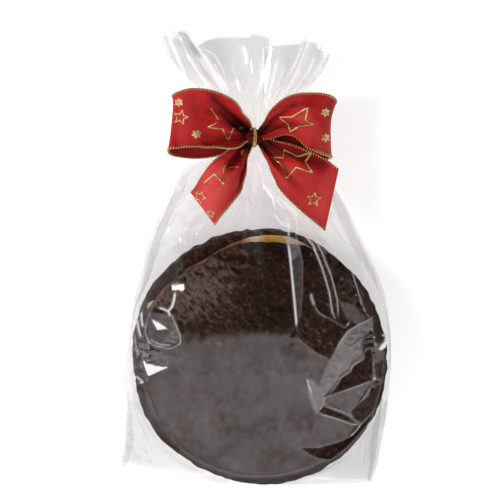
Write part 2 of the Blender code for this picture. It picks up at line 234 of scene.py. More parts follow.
class Nodes:
    """Short names for building a material's nodes."""

    def __init__(self, name):
        self.material = bpy.data.materials.new(name)
        self.material.use_nodes = True
        self.tree = self.material.node_tree
        self.tree.nodes.clear()
        self.out = self.tree.nodes.new("ShaderNodeOutputMaterial")

    def add(self, kind, inputs=None, **settings):
        node = self.tree.nodes.new("ShaderNode" + kind)
        for key, value in settings.items():
            setattr(node, key, value)
        for key, value in (inputs or {}).items():
            socket = node.inputs[key]
            if isinstance(value, bpy.types.NodeSocket):
                self.tree.links.new(value, socket)
            else:
                socket.default_value = value
        return node

    def attribute(self, name):
        return self.add("Attribute", attribute_name=name).outputs["Fac"]

    def place(self):
        return self.add("TexCoord").outputs["Object"]

    def noise(self, place, scale, detail, roughness=0.5):
        inputs = {"Vector": place, "Scale": scale, "Detail": detail, "Roughness": roughness}
        return self.add("TexNoise", inputs).outputs["Fac"]

    def bump(self, height, strength, distance):
        return self.add("Bump", {"Strength": strength, "Distance": distance, "Height": height}).outputs[0]

    def mix(self, share, first, second):
        first, second = ((*c, 1) if isinstance(c, tuple) else c for c in (first, second))
        return self.add("MixRGB", {0: share, 1: first, 2: second}).outputs[0]

    def blend(self, share, first, second):
        return self.add("MixShader", {0: share, 1: first.outputs[0], 2: second.outputs[0]})

    def maths(self, operation, a, b=0.0, clamp=False):
        return self.add("Math", {0: a, 1: b}, operation=operation, use_clamp=clamp).outputs[0]

    def spread(self, value, low, high, to_low=0.0, to_high=1.0):
        inputs = {"Value": value, "From Min": low, "From Max": high, "To Min": to_low, "To Max": to_high}
        return self.add("MapRange", inputs).outputs["Result"]

    def ramp(self, value, stops):
        node = self.add("ValToRGB", {"Fac": value})
        elements = node.color_ramp.elements
        while len(elements) > 1:
            elements.remove(elements[-1])
        elements[0].position, elements[0].color = stops[0][0], (*stops[0][1], 1)
        for place, colour in stops[1:]:
            elements.new(place).color = (*colour, 1)
        return node.outputs["Color"]

    def finish(self, shader):
        self.tree.links.new(shader.outputs[0], self.out.inputs["Surface"])
        return self.material


def film_material():
    """Clear cellophane: what it doesn't mirror shows through, and its creases are milky. An attribute paints
    where its reflection is dark or bright, its glancing reflection is painted out over the rim, and the milky
    creases carry painted glints that glow with a painted light.
    """
    n = Nodes("clear_film")
    facing = n.add("LayerWeight", {"Blend": 0.5}).outputs["Facing"]
    # Painted out: the glancing reflection is taken away where the film bends over the biscuit's rim.
    steep = n.attribute("steep")
    glancing = n.maths("MULTIPLY", n.maths("POWER", facing, 5.0), n.spread(steep, 0.0, 1.0, 0.85, 0.0))
    mirror = n.maths("ADD", glancing, 0.085)
    # Painted reflection: above 0 it darkens what the film mirrors, below 0 it raises the mirror to a painted
    # highlight.
    painted_reflection = n.attribute("painted_reflection")
    mirror = n.maths("MULTIPLY", mirror, n.spread(painted_reflection, 0.0, 1.0, 1.0, 0.0))
    mirror = n.maths("ADD", mirror, n.spread(painted_reflection, 0.0, -1.0, 0.0, 0.95), clamp=True)
    bump = n.bump(n.noise(n.place(), 90.0, 2.0), 0.06, 0.0006)
    layers = n.mix(n.attribute("dim"), (0.915, 0.915, 0.915), (0.765, 0.765, 0.765))
    clear = n.add("BsdfTransparent", {"Color": layers})
    gloss = n.add("BsdfGlossy", {"Color": (1.0, 0.955, 0.965, 1), "Roughness": 0.07, "Normal": bump})
    over = n.add("BsdfDiffuse", {"Color": (0.95, 0.95, 0.94, 1)})
    under = n.add("BsdfTranslucent", {"Color": (0.97, 0.97, 0.97, 1)})
    # Painted light: the milky white glows a little, as if more strongly lit.
    painted_glow = n.add("Emission", {"Color": (1, 1, 1, 1), "Strength": 0.26})
    white = n.add("AddShader", {0: n.blend(0.45, over, under).outputs[0], 1: painted_glow.outputs[0]})
    # The crease attribute is milky creasing and, in part, painted glints.
    milk_and_glint = n.maths("ADD", n.maths("MULTIPLY", n.attribute("crease"), 0.8), 0.003, clamp=True)
    return n.finish(n.blend(milk_and_glint, n.blend(mirror, clear, gloss), white))


def chocolate_material():
    """Dark chocolate, paler and duller on its ridges, with painted highlights on them and a few crumbs in it.
    """
    n = Nodes("dark_chocolate")
    place = n.place()
    blotch = n.noise(place, 70.0, 4.0, 0.6)
    grain = n.noise(place, 800.0, 3.0, 0.65)
    crumb = n.add("TexVoronoi", {"Vector": place, "Scale": 620.0, "Randomness": 1.0}, feature="F1")
    shade = n.maths("ADD", n.maths("MULTIPLY", blotch, 0.55), n.spread(grain, 0.32, 0.68, 0.0, 0.45))
    level = n.maths("ADD", n.maths("MULTIPLY", n.attribute("relief"), 0.62), n.maths("MULTIPLY", shade, 0.42))
    dark = [(0.15, (0.007, 0.0018, 0.0008)), (0.38, (0.018, 0.0056, 0.0030))]
    # The pale end is the coating's bloom and, at the top, a painted highlight grey.
    pale = [(0.58, (0.044, 0.0200, 0.0120)), (0.90, (0.165, 0.120, 0.096))]
    near_crumb = n.spread(crumb.outputs["Distance"], 0.44, 0.24)
    fleck = n.maths("MULTIPLY", near_crumb, n.spread(blotch, 0.56, 0.68))
    shader = n.add(
        "BsdfPrincipled",
        {
            "Base Color": n.mix(fleck, n.ramp(level, dark + pale), (0.080, 0.048, 0.038)),
            "Roughness": n.spread(blotch, 0.3, 0.7, 0.30, 0.46),
            "Normal": n.bump(grain, 0.8, 0.0006),
            "Specular IOR Level": n.spread(n.attribute("gloss"), 0.0, 1.0, 0.0, 0.12),
            "Specular Tint": (1.0, 0.72, 0.58, 1),
        },
    )
    return n.finish(shader)


def wafer_material():
    """Pale wafer: golden where it is baked darkest, and reddish brown where the coating ran over its edge."""
    n = Nodes("baked_wafer")
    place = n.place()
    toast = n.noise(place, 160.0, 5.0, 0.65)
    grain = n.noise(place, 1500.0, 2.0)
    cream = n.ramp(toast, [(0.35, (0.62, 0.47, 0.26)), (0.65, (0.84, 0.74, 0.54))])
    gold = n.ramp(toast, [(0.35, (0.62, 0.32, 0.02)), (0.65, (0.98, 0.60, 0.09))])
    crumb = n.ramp(toast, [(0.35, (0.15, 0.048, 0.022)), (0.65, (0.33, 0.140, 0.062))])
    top = n.mix(n.spread(n.attribute("golden"), 0.15, 0.6), cream, gold)
    colour = n.mix(n.spread(n.attribute("bare"), 0.4, 0.8), crumb, top)
    bump = n.bump(grain, 0.4, 0.0002)
    return n.finish(n.add("BsdfPrincipled", {"Base Color": colour, "Roughness": 0.75, "Normal": bump}))


def ribbon_material():
    """Satin taffeta. The mesh's UV map holds millimetres along and across the ribbon. Its shade attribute
    paints shade in, and painted light where it is below 0.
    """
    n = Nodes("red_satin")
    flat = n.add("UVMap", uv_map="flat").outputs["UV"]
    threads = {"Vector": flat, "Scale": 0.62, "Distortion": 0.6, "Detail": 1.0}
    across, along = (n.add("TexWave", threads, bands_direction=axis).outputs["Fac"] for axis in "YX")
    weave = n.maths("ADD", n.maths("MULTIPLY", across, 0.5), n.maths("MULTIPLY", along, 0.5))
    cloud = n.noise(flat, 0.12, 3.0)
    shade = n.maths("ADD", n.maths("MULTIPLY", weave, 0.35), n.maths("MULTIPLY", cloud, 0.65))
    reds = [(0.25, (0.34, 0.0085, 0.0085)), (0.5, (0.44, 0.0130, 0.0125)), (0.75, (0.56, 0.022, 0.020))]
    fold = n.attribute("shade")
    # Painted light: below 0 the shade attribute turns the red paler, as if lit.
    painted_light = n.mix(n.spread(fold, 0.0, -1.0), n.ramp(shade, reds), (0.88, 0.100, 0.094))
    shader = n.add(
        "BsdfPrincipled",
        {
            # Painted shade: above 0 the shade attribute darkens the red towards near black.
            "Base Color": n.mix(n.spread(fold, 0.0, 1.0, 0.0, 0.93), painted_light, (0.030, 0.0022, 0.0020)),
            "Roughness": 0.48,
            "Specular IOR Level": 0.10,
            "Sheen Weight": 0.04,
            "Sheen Roughness": 0.4,
            "Sheen Tint": (1.0, 0.30, 0.28, 1),
            "Normal": n.bump(weave, 0.3, 0.00012),
        },
    )
    return n.finish(shader)


def gold_material(name, dark, light, roughness, scale):
    n = Nodes(name)
    fleck = n.noise(n.place(), scale, 3.0, 0.6)
    shader = n.add(
        "BsdfPrincipled",
        {
            "Base Color": n.ramp(fleck, [(0.35, dark), (0.65, light)]),
            "Metallic": 0.85,
            "Roughness": n.spread(fleck, 0.3, 0.7, roughness - 0.08, roughness + 0.1),
            "Normal": n.bump(fleck, 0.3, 0.0001),
        },
    )
    return n.finish(shader)


def floor_material():
    n = Nodes("pale_paper")
    fleck = n.noise(n.place(), 30.0, 3.0)
    shader = n.add(
        "BsdfPrincipled",
        {
            "Base Color": n.ramp(fleck, [(0.3, (0.90, 0.90, 0.90)), (0.7, (0.93, 0.93, 0.93))]),
            "Roughness": 0.9,
            "Specular IOR Level": 0.1,
            "Emission Color": (1, 1, 1, 1),
            "Emission Strength": 0.48,
        },
    )
    return n.finish(shader)


# ---------------------------------------------------------------- the bag's outline

BISCUIT_RADIUS = 54.8
BISCUIT_CENTRE = np.array([1.4, -43.5])
STACK_HEIGHT = 35.5
CROWN = 1.2
FLAT_RADIUS = BISCUIT_RADIUS - 6.5
NECK = np.array([-1.0, 57.0, 14.0])
NECK_RADIUS = 4.5
NECK_HALF_LENGTH = 3.0
# The bag's left and right sides: y and x.
LEFT_SIDE = [
    (-93.9, -59.7), (-85.5, -58.3), (-72.3, -57.5), (-62.4, -56.9), (-54.3, -58), (-40.9, -57.2),
    (-30.2, -55.4), (-18.9, -53.2), (-10.9, -50.5), (-0.4, -48.2), (10.1, -45.1), (18, -41.6),
    (28.4, -36.7), (38.9, -31), (46, -21), (50.5, -11.5), (54, -5.3),
]
RIGHT_SIDE = [
    (-104.4, 53.4), (-96.1, 55.4), (-83.2, 56.7), (-75, 57.5), (-58.6, 58.4), (-42.4, 58.6),
    (-31.5, 58.2), (-20.7, 56.9), (-12.6, 55.2), (-1.9, 50.6), (8.9, 45.4), (19.6, 40.7), (27.6, 36.2),
    (38.4, 27), (45, 16), (50.5, 8.2), (54, 3.3),
]
# The bottom edge: share from left to right, and y.
BOTTOM_EDGE = [
    (0, -93.9), (0.11, -96.9), (0.28, -99.3), (0.38, -99.6), (0.52, -100.6), (0.66, -101.2),
    (0.94, -104.2), (1, -104.4),
]
# Along y, the heights of the front's and the back's side folds, and how deep the sides are tucked in.
FRONT_FOLD = [(-104, 6), (-90, 10), (-75, 17), (-45, 25), (-15, 22), (15, 20), (35, 18.5), (54, 15.5)]
BACK_FOLD = [(-104, 1), (-90, 1.2), (-75, 3), (-45, 6), (-15, 3.5), (15, 3), (35, 7), (54, 12.5)]
BOTTOM_FRONT_RISE = 15.0
TUCK = [(-104, 1.5), (-82, 4), (-62, 1), (-45, 0.3), (-25, 1), (5, 5), (30, 5), (54, 0.5)]


class Outline:
    """The bag's outline round the biscuits' middle, by direction."""

    def __init__(self):
        left_y, right_y = (np.linspace(side[0][0], side[-1][0], 120) for side in (LEFT_SIDE, RIGHT_SIDE))
        across = np.linspace(0, 1, 80)
        bottom_x = np.interp(across, (0, 1), (LEFT_SIDE[0][1], RIGHT_SIDE[0][1]))
        x = np.concatenate([through(LEFT_SIDE, left_y), through(RIGHT_SIDE, right_y), bottom_x])
        y = np.concatenate([left_y, right_y, np.interp(across, *np.array(BOTTOM_EDGE).T)])
        rise = np.concatenate([0 * left_y, 0 * right_y, np.sin(np.pi * across) * BOTTOM_FRONT_RISE])
        dx, dy = x - BISCUIT_CENTRE[0], y - BISCUIT_CENTRE[1]
        angle = np.arctan2(dy, dx)
        order = np.argsort(angle)
        self.angle = angle[order]
        self.reach = np.hypot(dx, dy)[order]
        self.front = (through(FRONT_FOLD, y) + rise)[order]
        self.back = through(BACK_FOLD, y)[order]

    def at(self, x, y):
        """(distance from the middle, reach of the outline, height of its front and of its back fold)."""
        dx, dy = x - BISCUIT_CENTRE[0], y - BISCUIT_CENTRE[1]
        angle = np.arctan2(dy, dx)
        kept = self.reach, self.front, self.back
        return np.hypot(dx, dy), *(np.interp(angle, self.angle, v, period=2 * math.pi) for v in kept)


OUTLINE = Outline()


def front_height(x, y):
    """The film lies on the front biscuit's crown, bends over its rim and runs to the bag's folds."""
    distance, reach, fold, _ = OUTLINE.at(x, y)
    crown = STACK_HEIGHT - CROWN * np.minimum(distance / FLAT_RADIUS, 1) ** 2
    bend = 3.0
    past = distance - FLAT_RADIUS
    past = np.where(past > bend, past - bend / 2, np.where(past > 0, past**2 / (2 * bend), 0))
    away = np.clip(past / np.maximum(reach - FLAT_RADIUS - bend / 2, 1e-6), 0, 1)
    return crown + (fold - (STACK_HEIGHT - CROWN)) * away


def back_height(x, y):
    distance, reach, _, fold = OUTLINE.at(x, y)
    return fold * np.clip((distance - FLAT_RADIUS) / np.maximum(reach - FLAT_RADIUS, 1e-6), 0, 1)


def segment_distance(x, y, a, b):
    """(distance to the segment, share along it) for arrays x, y."""
    along = np.array(b) - np.array(a)
    t = np.clip(((x - a[0]) * along[0] + (y - a[1]) * along[1]) / (along @ along), 0, 1)
    return np.hypot(x - a[0] - t * along[0], y - a[1] - t * along[1]), t


def line_distance(x, y, points):
    """(distance to a polyline, share of its length there)."""
    points = np.array(points, float)
    done = lengths_along(points)
    done /= done[-1]
    best = np.full(np.shape(x), 1e9)
    share = np.zeros(np.shape(x))
    for k in range(len(points) - 1):
        d, t = segment_distance(x, y, points[k], points[k + 1])
        nearer = d < best
        best = np.where(nearer, d, best)
        share = np.where(nearer, done[k] + t * (done[k + 1] - done[k]), share)
    return best, share


def inside_polygon(x, y, points):
    """How far inside a polygon each point is: positive inside, negative outside."""
    inside = np.zeros(np.shape(x), bool)
    nearest = np.full(np.shape(x), 1e9)
    for a, b in zip(points, np.roll(points, -1, axis=0)):
        crosses = ((a[1] > y) != (b[1] > y)) & (x < (b[0] - a[0]) * (y - a[1]) / (b[1] - a[1] + 1e-12) + a[0])
        inside ^= crosses
        nearest = np.minimum(nearest, segment_distance(x, y, a, b)[0])
    return np.where(inside, nearest, -nearest)


# Creases on the front: marks along it, height, half width and milkiness, which is in part a painted glint.
CREASES = [
    ([(287, 238), (289, 250), (291, 268), (294, 300), (297, 334)], 0.5, 0.9, 1.3),
    ([(297, 238), (302, 262), (302, 288), (299, 330)], 0.1, 0.8, 0.10),
    ([(306, 233), (314, 247), (322, 268), (329, 292), (332, 312), (337, 322)], 0.8, 0.8, 0.6),
    ([(313, 236), (322, 252), (331, 276), (337, 300), (338, 318)], 0.7, 0.7, 0.5),
    ([(328, 318), (336, 322), (344, 327), (349, 322)], 0.7, 0.9, 0.8),
    ([(310.5, 293), (311.5, 298), (314, 305)], 0.3, 1.3, 0.55),
    ([(314, 305), (318, 312), (326, 317), (336, 320)], 0.3, 0.6, 0.40),
    ([(175, 292), (174, 299), (172, 306), (168, 311)], 0.1, 1.0, 1.4),
    ([(159, 308), (164, 309), (168, 311), (170, 316)], 0.1, 0.9, 1.2),
    ([(168, 311), (172, 316), (176, 325), (180, 335), (180, 343), (175, 346)], 0.1, 0.75, 0.5),
    ([(147, 320), (145, 334), (149, 342), (157, 346), (170, 348), (178, 344)], 0.1, 0.75, 0.42),
    ([(150, 340), (160, 344), (172, 345)], 0.1, 0.6, 0.5),
    ([(142, 314), (142, 322), (143, 329)], 0.4, 0.9, 1.0),
    ([(137, 322), (139, 331), (141, 339)], 0.4, 0.9, 1.0),
    ([(133, 330), (136, 345), (138, 360)], 0.3, 0.7, 0.4),
    ([(324, 404), (336, 409), (347, 413), (360, 423)], 0.12, 0.85, 0.30),
    ([(318, 413), (335, 418), (351, 424), (362, 424)], 0.12, 0.85, 0.34),
    ([(324, 397), (340, 391), (359, 385), (376, 378), (385, 384)], 0.5, 0.7, 0.5),
    ([(329, 359), (339, 342), (347, 331), (359, 324), (373, 317)], 0.5, 0.8, 0.35),
    ([(336, 386), (341, 377), (350, 371), (353, 365), (363, 359), (364, 351)], 0.4, 0.8, 0.25),
    ([(306.5, 377), (308, 384), (311, 392)], 0.1, 0.7, 0.7),
    ([(310, 390), (313, 400), (318, 412)], 0.05, 0.8, 0.12),
    ([(324, 396), (324, 403), (319, 410)], 0.1, 0.8, 0.2),
    ([(350, 437), (357, 431), (361, 424)], 0.4, 0.8, 0.5),
    ([(297, 335), (307, 345), (316, 352), (329, 359)], 0.05, 0.6, 0.22),
    ([(370, 387), (362, 400), (352, 410)], 0.4, 0.6, 0.3),
    ([(380, 350), (384, 346), (389, 343)], 0.5, 1.2, 1.3),
    ([(350, 262), (356, 284), (362, 305)], 0.5, 0.8, 0.4),
    ([(254, 150), (255, 158), (257, 168)], 0.4, 2.6, 2.2),
    ([(259, 158), (263, 172), (268, 186), (276, 200), (288, 212)], 0.4, 1.3, 1.3),
    ([(262, 182), (268, 190), (274, 198), (277, 210)], 0.4, 1.2, 1.2),
    ([(266, 170), (278, 184), (292, 196), (304, 206)], 0.4, 1.2, 0.9),
    ([(257, 166), (256, 185), (252, 205)], 0.4, 1.1, 0.7),
    ([(258, 160), (268, 180), (286, 202), (302, 220)], 0.2, 4.5, 0.45),
    ([(256, 170), (252, 190), (246, 212)], 0.2, 3.5, 0.30),
    ([(278, 196), (290, 208), (306, 216)], 0.2, 2.5, 0.45),
    ([(252, 160), (246, 176), (238, 190)], 0.4, 1.3, 0.8),
    ([(274, 214), (280, 222), (290, 228)], 0.4, 1.2, 1.0),
    ([(296, 212), (298, 224), (297, 236)], 0.3, 1.0, 0.8),
    ([(288, 214), (290, 226), (289, 238)], 0.3, 1.0, 0.8),
    ([(250, 178), (243, 192), (236, 208), (232, 220)], 0.4, 0.8, 0.45),
    ([(268, 186), (282, 200), (296, 212), (306, 222)], 0.4, 0.9, 0.5),
    ([(276, 206), (286, 216), (290, 228)], 0.4, 0.8, 0.5),
    ([(247, 196), (250, 210), (248, 222)], 0.3, 0.8, 0.3),
    ([(186, 196), (176, 214), (168, 232), (160, 252)], 0.4, 0.9, 0.35),
    ([(196, 212), (190, 226), (178, 244)], 0.4, 0.8, 0.35),
    ([(206, 222), (196, 236)], 0.4, 0.8, 0.3),
    ([(346, 196), (352, 214), (362, 236), (372, 258)], 0.4, 0.9, 0.35),
    ([(334, 226), (344, 236), (352, 248)], 0.4, 1.1, 0.6),
    ([(318, 232), (330, 244), (338, 256)], 0.4, 0.9, 0.4),
    ([(360, 250), (366, 270), (370, 292)], 0.4, 0.8, 0.35),
    ([(383, 336), (389, 339), (385, 343)], 0.5, 0.9, 0.9),
    ([(369, 375), (375, 378), (380, 376)], 0.4, 0.8, 0.7),
    ([(136, 378), (143, 383), (139, 385)], 0.5, 0.9, 0.8),
    ([(130, 400), (136, 424), (148, 448)], 0.4, 0.9, 0.3),
    ([(124, 440), (138, 452), (150, 466)], 0.3, 0.8, 0.3),
    ([(372, 430), (366, 452), (368, 474)], 0.3, 0.8, 0.3),
]
# Patches where the film's reflection is painted dark: marks round it, how dark, and how white its edge is (a
# painted glint).
PAINTED_DARK_PATCHES = [
    ([(289, 338), (297, 336), (307, 345), (316, 352), (329, 359), (332, 356), (339, 341), (347, 329),
      (346, 318), (300, 316)], 1.0, 0.0),
    ([(328, 396), (336, 386), (341, 377), (350, 371), (353, 365), (363, 359), (364, 351), (371, 348),
      (373, 357), (373, 380), (359, 385), (347, 389), (333, 394)], 1.0, 0.12),
    ([(350, 411), (357, 403), (368, 396), (370, 387), (383, 384), (379, 401), (376, 413), (364, 423),
      (361, 424), (353, 419)], 0.85, 0.15),
    ([(319, 410), (323, 405.5), (337, 411), (347, 415.5), (360, 424.5), (353, 423), (338, 418.5),
      (321, 413)], 1.0, 0.10),
    ([(299, 447), (319, 447), (337, 442), (353, 435.5), (357, 431), (366, 422), (376, 412),
      (372, 424), (360, 438), (345, 452), (331, 462), (319, 459), (308, 454)], 1.0, 0.15),
    ([(374, 362), (385, 362), (384, 380), (375, 380)], 0.75, 0.1),
]
# Facets with a painted highlight, some also tilted towards the light: marks round it, its slope along y,
# painted mirror gain and milkiness, a painted glint.
PAINTED_GLINT_FACETS = [
    ([(307, 380), (311, 378.5), (319, 387), (324, 396), (324, 403), (319, 410), (316, 415),
      (311, 404), (307, 390)], None, 0, 0.17),
    ([(171.5, 285), (176, 283), (184, 282.5), (184.5, 289), (182, 292.5), (178, 290), (172, 290)],
      0.16, 1, 0.3),
    ([(151.5, 319), (158, 320.5), (168, 329), (157, 330)], 0.12, 1, 0.3),
    ([(143, 361), (167, 367), (148, 376)], 0.06, 1, 0.3),
    ([(380, 349), (384, 345), (389, 344), (388, 349), (383, 351)], None, 0, 1.6),
]
# Milky patches where the film is crumpled, partly painted reflection haze: marks round them and milkiness.
HAZE_AND_PAINTED_REFLECTION = [
    ([(329, 359), (339, 342), (347, 331), (359, 324), (373, 317), (374, 326), (362, 340), (361, 349),
      (363, 358), (353, 366), (347, 373), (333, 384), (324, 397), (318, 386)], 0.17),
    ([(374, 344), (384, 343), (386, 360), (377, 360)], 0.14),
    ([(338, 300), (352, 304), (366, 318), (358, 325), (346, 318)], 0.10),
    ([(326, 400), (337, 394), (359, 384), (374, 380), (370, 387), (353, 410), (344, 411), (333, 408)],
      0.035),
    ([(289, 238), (298, 238), (303, 262), (302, 288), (298.5, 331), (295, 300)], 0.06),
    ([(289, 238), (298, 238), (300, 252), (291, 262)], 0.12),
    ([(148, 314), (168, 313), (177, 326), (179, 343), (158, 346), (147, 336)], 0.13),
    ([(138, 352), (160, 350), (170, 360), (166, 366), (142, 360)], 0.07),
    ([(132, 376), (168, 380), (160, 420), (150, 452), (138, 430)], 0.02),
]


def from_neck(x, y):
    """(distance, direction) from the neck's middle."""
    dx, dy = x - NECK[0], NECK[1] + 2 - y
    return np.hypot(dx, dy), np.arctan2(dx, dy)


def neck_radius(angle):
    """The gathered neck is fluted."""
    return NECK_RADIUS * (0.92 + 0.10 * np.cos(13 * angle))


def radial_pleats(x, y):
    """(height, creasing) of folds that fan out from the neck, sharp near it and lost by the biscuit."""
    reach, angle = from_neck(x, y)
    total, crease = np.zeros(np.shape(x)), np.zeros(np.shape(x))
    for count, size, fall, phase in ((9.0, 0.8, 20.0, 0.4), (17.0, 0.45, 15.0, 1.7), (6.0, 0.5, 22.0, 2.9)):
        turn = angle * count + phase + 0.9 * np.sin(angle * 3.1 + phase)
        wave = 2 * np.abs((turn / math.pi) % 2 - 1) - 1
        fade = bell(reach, fall, steepness=0.5) * ease(reach / 9)
        total += size * wave * fade
        crease += np.clip(np.abs(wave) - 0.86, 0, 1) / 0.14 * fade
    return total, crease


def front_creases(x, y):
    """(height to add, milkiness with painted glints) of the folds by the neck and of the creases."""
    total, crease = radial_pleats(x, y)
    away, turn = from_neck(x, y)
    streak = np.clip(noise_grid(1.0, 21, turn * 13, away / 28) - 0.05, 0, 1) * 1.6
    # Milky creasing, with painted glints along the streaks and painted white towards the neck.
    milk_and_glint = 0.45 * crease + 1.4 * streak**1.6 * (1 - ease((away - 12) / 46)) + 0.9 * (1 - ease(away / 13))
    for marks, height, half_width, white in CREASES:
        d, t = line_distance(x, y, spots(marks))
        taper = window(t, 0, 0.15, 1, 0.15) * 0.8 + 0.2
        total += height * bell(d, half_width, steepness=1.6) * taper
        milk_and_glint += white * bell(d, 0.55 * half_width, steepness=1.6) * taper
    return total, milk_and_glint


# Distances from the biscuits' middle: where the film's flat part ends, and where its rim does.
FLAT_END, RIM_END = 48, 58.5
# Marks down the front: the lower edge of the painted dark reflection, and the upper edge of the veil below
# it.
DARK_LOW_MARK, VEIL_TOP_MARK = 338, 345


def painted_reflection_share(x, y, distance, cloud, to_right, low_down):
    """How far the film's reflection is painted dark: on its rim, its upper part and in patches."""
    above = y - BISCUIT_CENTRE[1]
    inside = ease(RIM_END - distance)
    past_flat = ease((distance - FLAT_END) / 3)
    left_rim = 0.42 * (1 - to_right) * (1 - low_down)
    right_rim = 0.85 * to_right * window(y, -82, 8, 12, 15)
    low_rim = 0.38 * past_flat + 0.34 * ease((distance - FLAT_END - 3) / 2.5)
    upper_left = ease((above - 20) / 10) * (1 - to_right) * ease((distance - FLAT_END + 3) / 3)
    left = ease((above - 9) / 4) * ease((BISCUIT_CENTRE[0] - 26 - x) / 6)
    shares = [
        np.maximum(left_rim, right_rim) * past_flat * inside,
        low_rim * low_down * inside,
        0.40 * np.clip(-cloud, 0, 1) * ease((57 - distance) / 4),
        0.92 * ease((y - spot(250, DARK_LOW_MARK)[1]) / 6) * ease((52 - distance) / 5),
        0.75 * upper_left * inside,
        left * window(distance, 41, 2.5, 54.5, 2.5),
    ]
    return np.maximum.reduce(shares)


def front_details(x, y):
    """(height to add, milkiness with painted glints, painted reflection: dark above 0 and bright below 0, and
    where the glancing reflection is painted out) of the front film.
    """
    total, milk_and_glint = front_creases(x, y)
    distance = OUTLINE.at(x, y)[0]
    to_right = ease((x - BISCUIT_CENTRE[0] + 6) / 20)
    low_down = ease((BISCUIT_CENTRE[1] + 5 - y) / 12)
    cloud = noise_grid(9.0, 33, x, y) + 0.9 * noise_grid(3.2, 34, x, y)
    speck = np.clip(noise_grid(1.3, 35, x, y) - 0.42, 0, 1)
    # Painted reflection: milky specks mottle the veil that the low card lays on the film.
    veil = ease((57 - distance) / 4) * ease((spot(250, VEIL_TOP_MARK)[1] - y) / 6)
    milk_and_glint += (0.055 * np.clip(cloud, 0, 2) + 0.16 * speck) * veil
    painted_reflection = painted_reflection_share(x, y, distance, cloud, to_right, low_down)
    around = np.arctan2(y - BISCUIT_CENTRE[1], x - BISCUIT_CENTRE[0])
    wrinkles = noise_grid(1.0, 36, np.cos(around) * 30, np.sin(around) * 30, distance / 7)
    depth = (0.10 + 0.20 * to_right) * (1 - 0.65 * low_down)
    total += depth * wrinkles * window(distance, 43, 7, 61, 5)
    crumpled = np.clip(noise_grid(1.6, 31, x, y) + 0.35, 0, 1)
    # Painted reflection haze on top of the milkiness of crumpled film.
    for marks, white in HAZE_AND_PAINTED_REFLECTION:
        cover = ease(inside_polygon(x, y, spots(marks)) + 0.5)
        milk_and_glint += white * (0.75 + 0.6 * crumpled) * cover
        total += 0.07 * (crumpled - 0.35) * cover
    # Painted dark reflection, with the milkiness taken out and a painted glint on the edge.
    for marks, dark, edge in PAINTED_DARK_PATCHES:
        depth = inside_polygon(x, y, spots(marks))
        cover = ease(depth / 0.6 + 0.5)
        painted_reflection = np.maximum(painted_reflection, dark * cover)
        milk_and_glint = milk_and_glint * (1 - 0.85 * cover) + edge * bell(depth, 0.35)
    # Painted highlight: whiteness and a raised mirror, on facets some of which are tilted.
    for marks, slope, gain, white in PAINTED_GLINT_FACETS:
        corners = spots(marks)
        cover = ease(inside_polygon(x, y, corners) / 0.5 + 0.5)
        milk_and_glint += white * cover
        painted_reflection = painted_reflection * (1 - cover) - gain * cover
        if slope is not None:
            middle = corners.mean(axis=0)
            plane = front_height(*middle[:, None])[0] + 0.25 + (y - middle[1]) * slope
            total = total * (1 - cover) + (plane - front_height(x, y)) * cover
    return total, milk_and_glint, painted_reflection, window(distance, 45.5, 2.5, 60.0, 2.0)


def crumple(points, amount):
    """Fine cellophane creases at an array of points, by how much of them each place has."""
    total = np.zeros(points.shape[:-1])
    for scale, size, seed in ((24.0, 0.8, 1), (12.0, 0.5, 2), (6.0, 0.25, 3)):
        total += size * (np.abs(noise_grid(scale, seed, *np.moveaxis(points, -1, 0))) - 0.2)
    return total * amount


# ---------------------------------------------------------------- the film

FRONT_COLUMNS, BODY_ROWS = 250, 330
BACK_COLUMNS, SIDE_COLUMNS = 110, 12


def ring_place(share, up):
    """x, y of the bag's body at a share across and a share of the way up, before the neck gathers it."""
    neck_y = NECK[1] - NECK_HALF_LENGTH
    left_low, right_low = BOTTOM_EDGE[0][1], BOTTOM_EDGE[-1][1]
    left_x = through(LEFT_SIDE, left_low + (neck_y - left_low) * up)
    right_x = through(RIGHT_SIDE, right_low + (neck_y - right_low) * up)
    bottom_y = np.interp(share, *np.array(BOTTOM_EDGE).T)
    return left_x + (right_x - left_x) * share, bottom_y + (neck_y - bottom_y) * up


def neck_ring(panel, share, y):
    """Places round the neck: the front panel over it, the back panel under it, and a gap at each side."""
    side_gap = math.radians(14)
    angle = math.pi - side_gap - share * (math.pi - 2 * side_gap)
    if panel == "back":
        angle = -angle
    radius = neck_radius(angle)
    return np.stack([NECK[0] + radius * np.cos(angle), y, NECK[2] + radius * np.sin(angle)], axis=-1)


def gather(points, ring, up):
    """Pulls the top of a panel in to its places round the neck."""
    gathered = ease((up - 0.9) / 0.1)[..., None]
    return points * (1 - gathered) + ring * gathered


LAYERED_Z = 15
LAYERED = [
    [(118, 400), (138, 396), (158, 440), (190, 460), (226, 474), (226, 492), (118, 476)],
    [(392, 395), (382, 400), (352, 446), (306, 470), (280, 478), (280, 496), (392, 494)],
]


def layered_corners(x, y):
    """Where the block bottom's folded corners lie in several layers, which look greyer."""
    left, right = (inside_polygon(x, y, spots(marks, LAYERED_Z)) for marks in LAYERED)
    return 0.45 * ease(left + 0.5) + ease(right + 0.5)


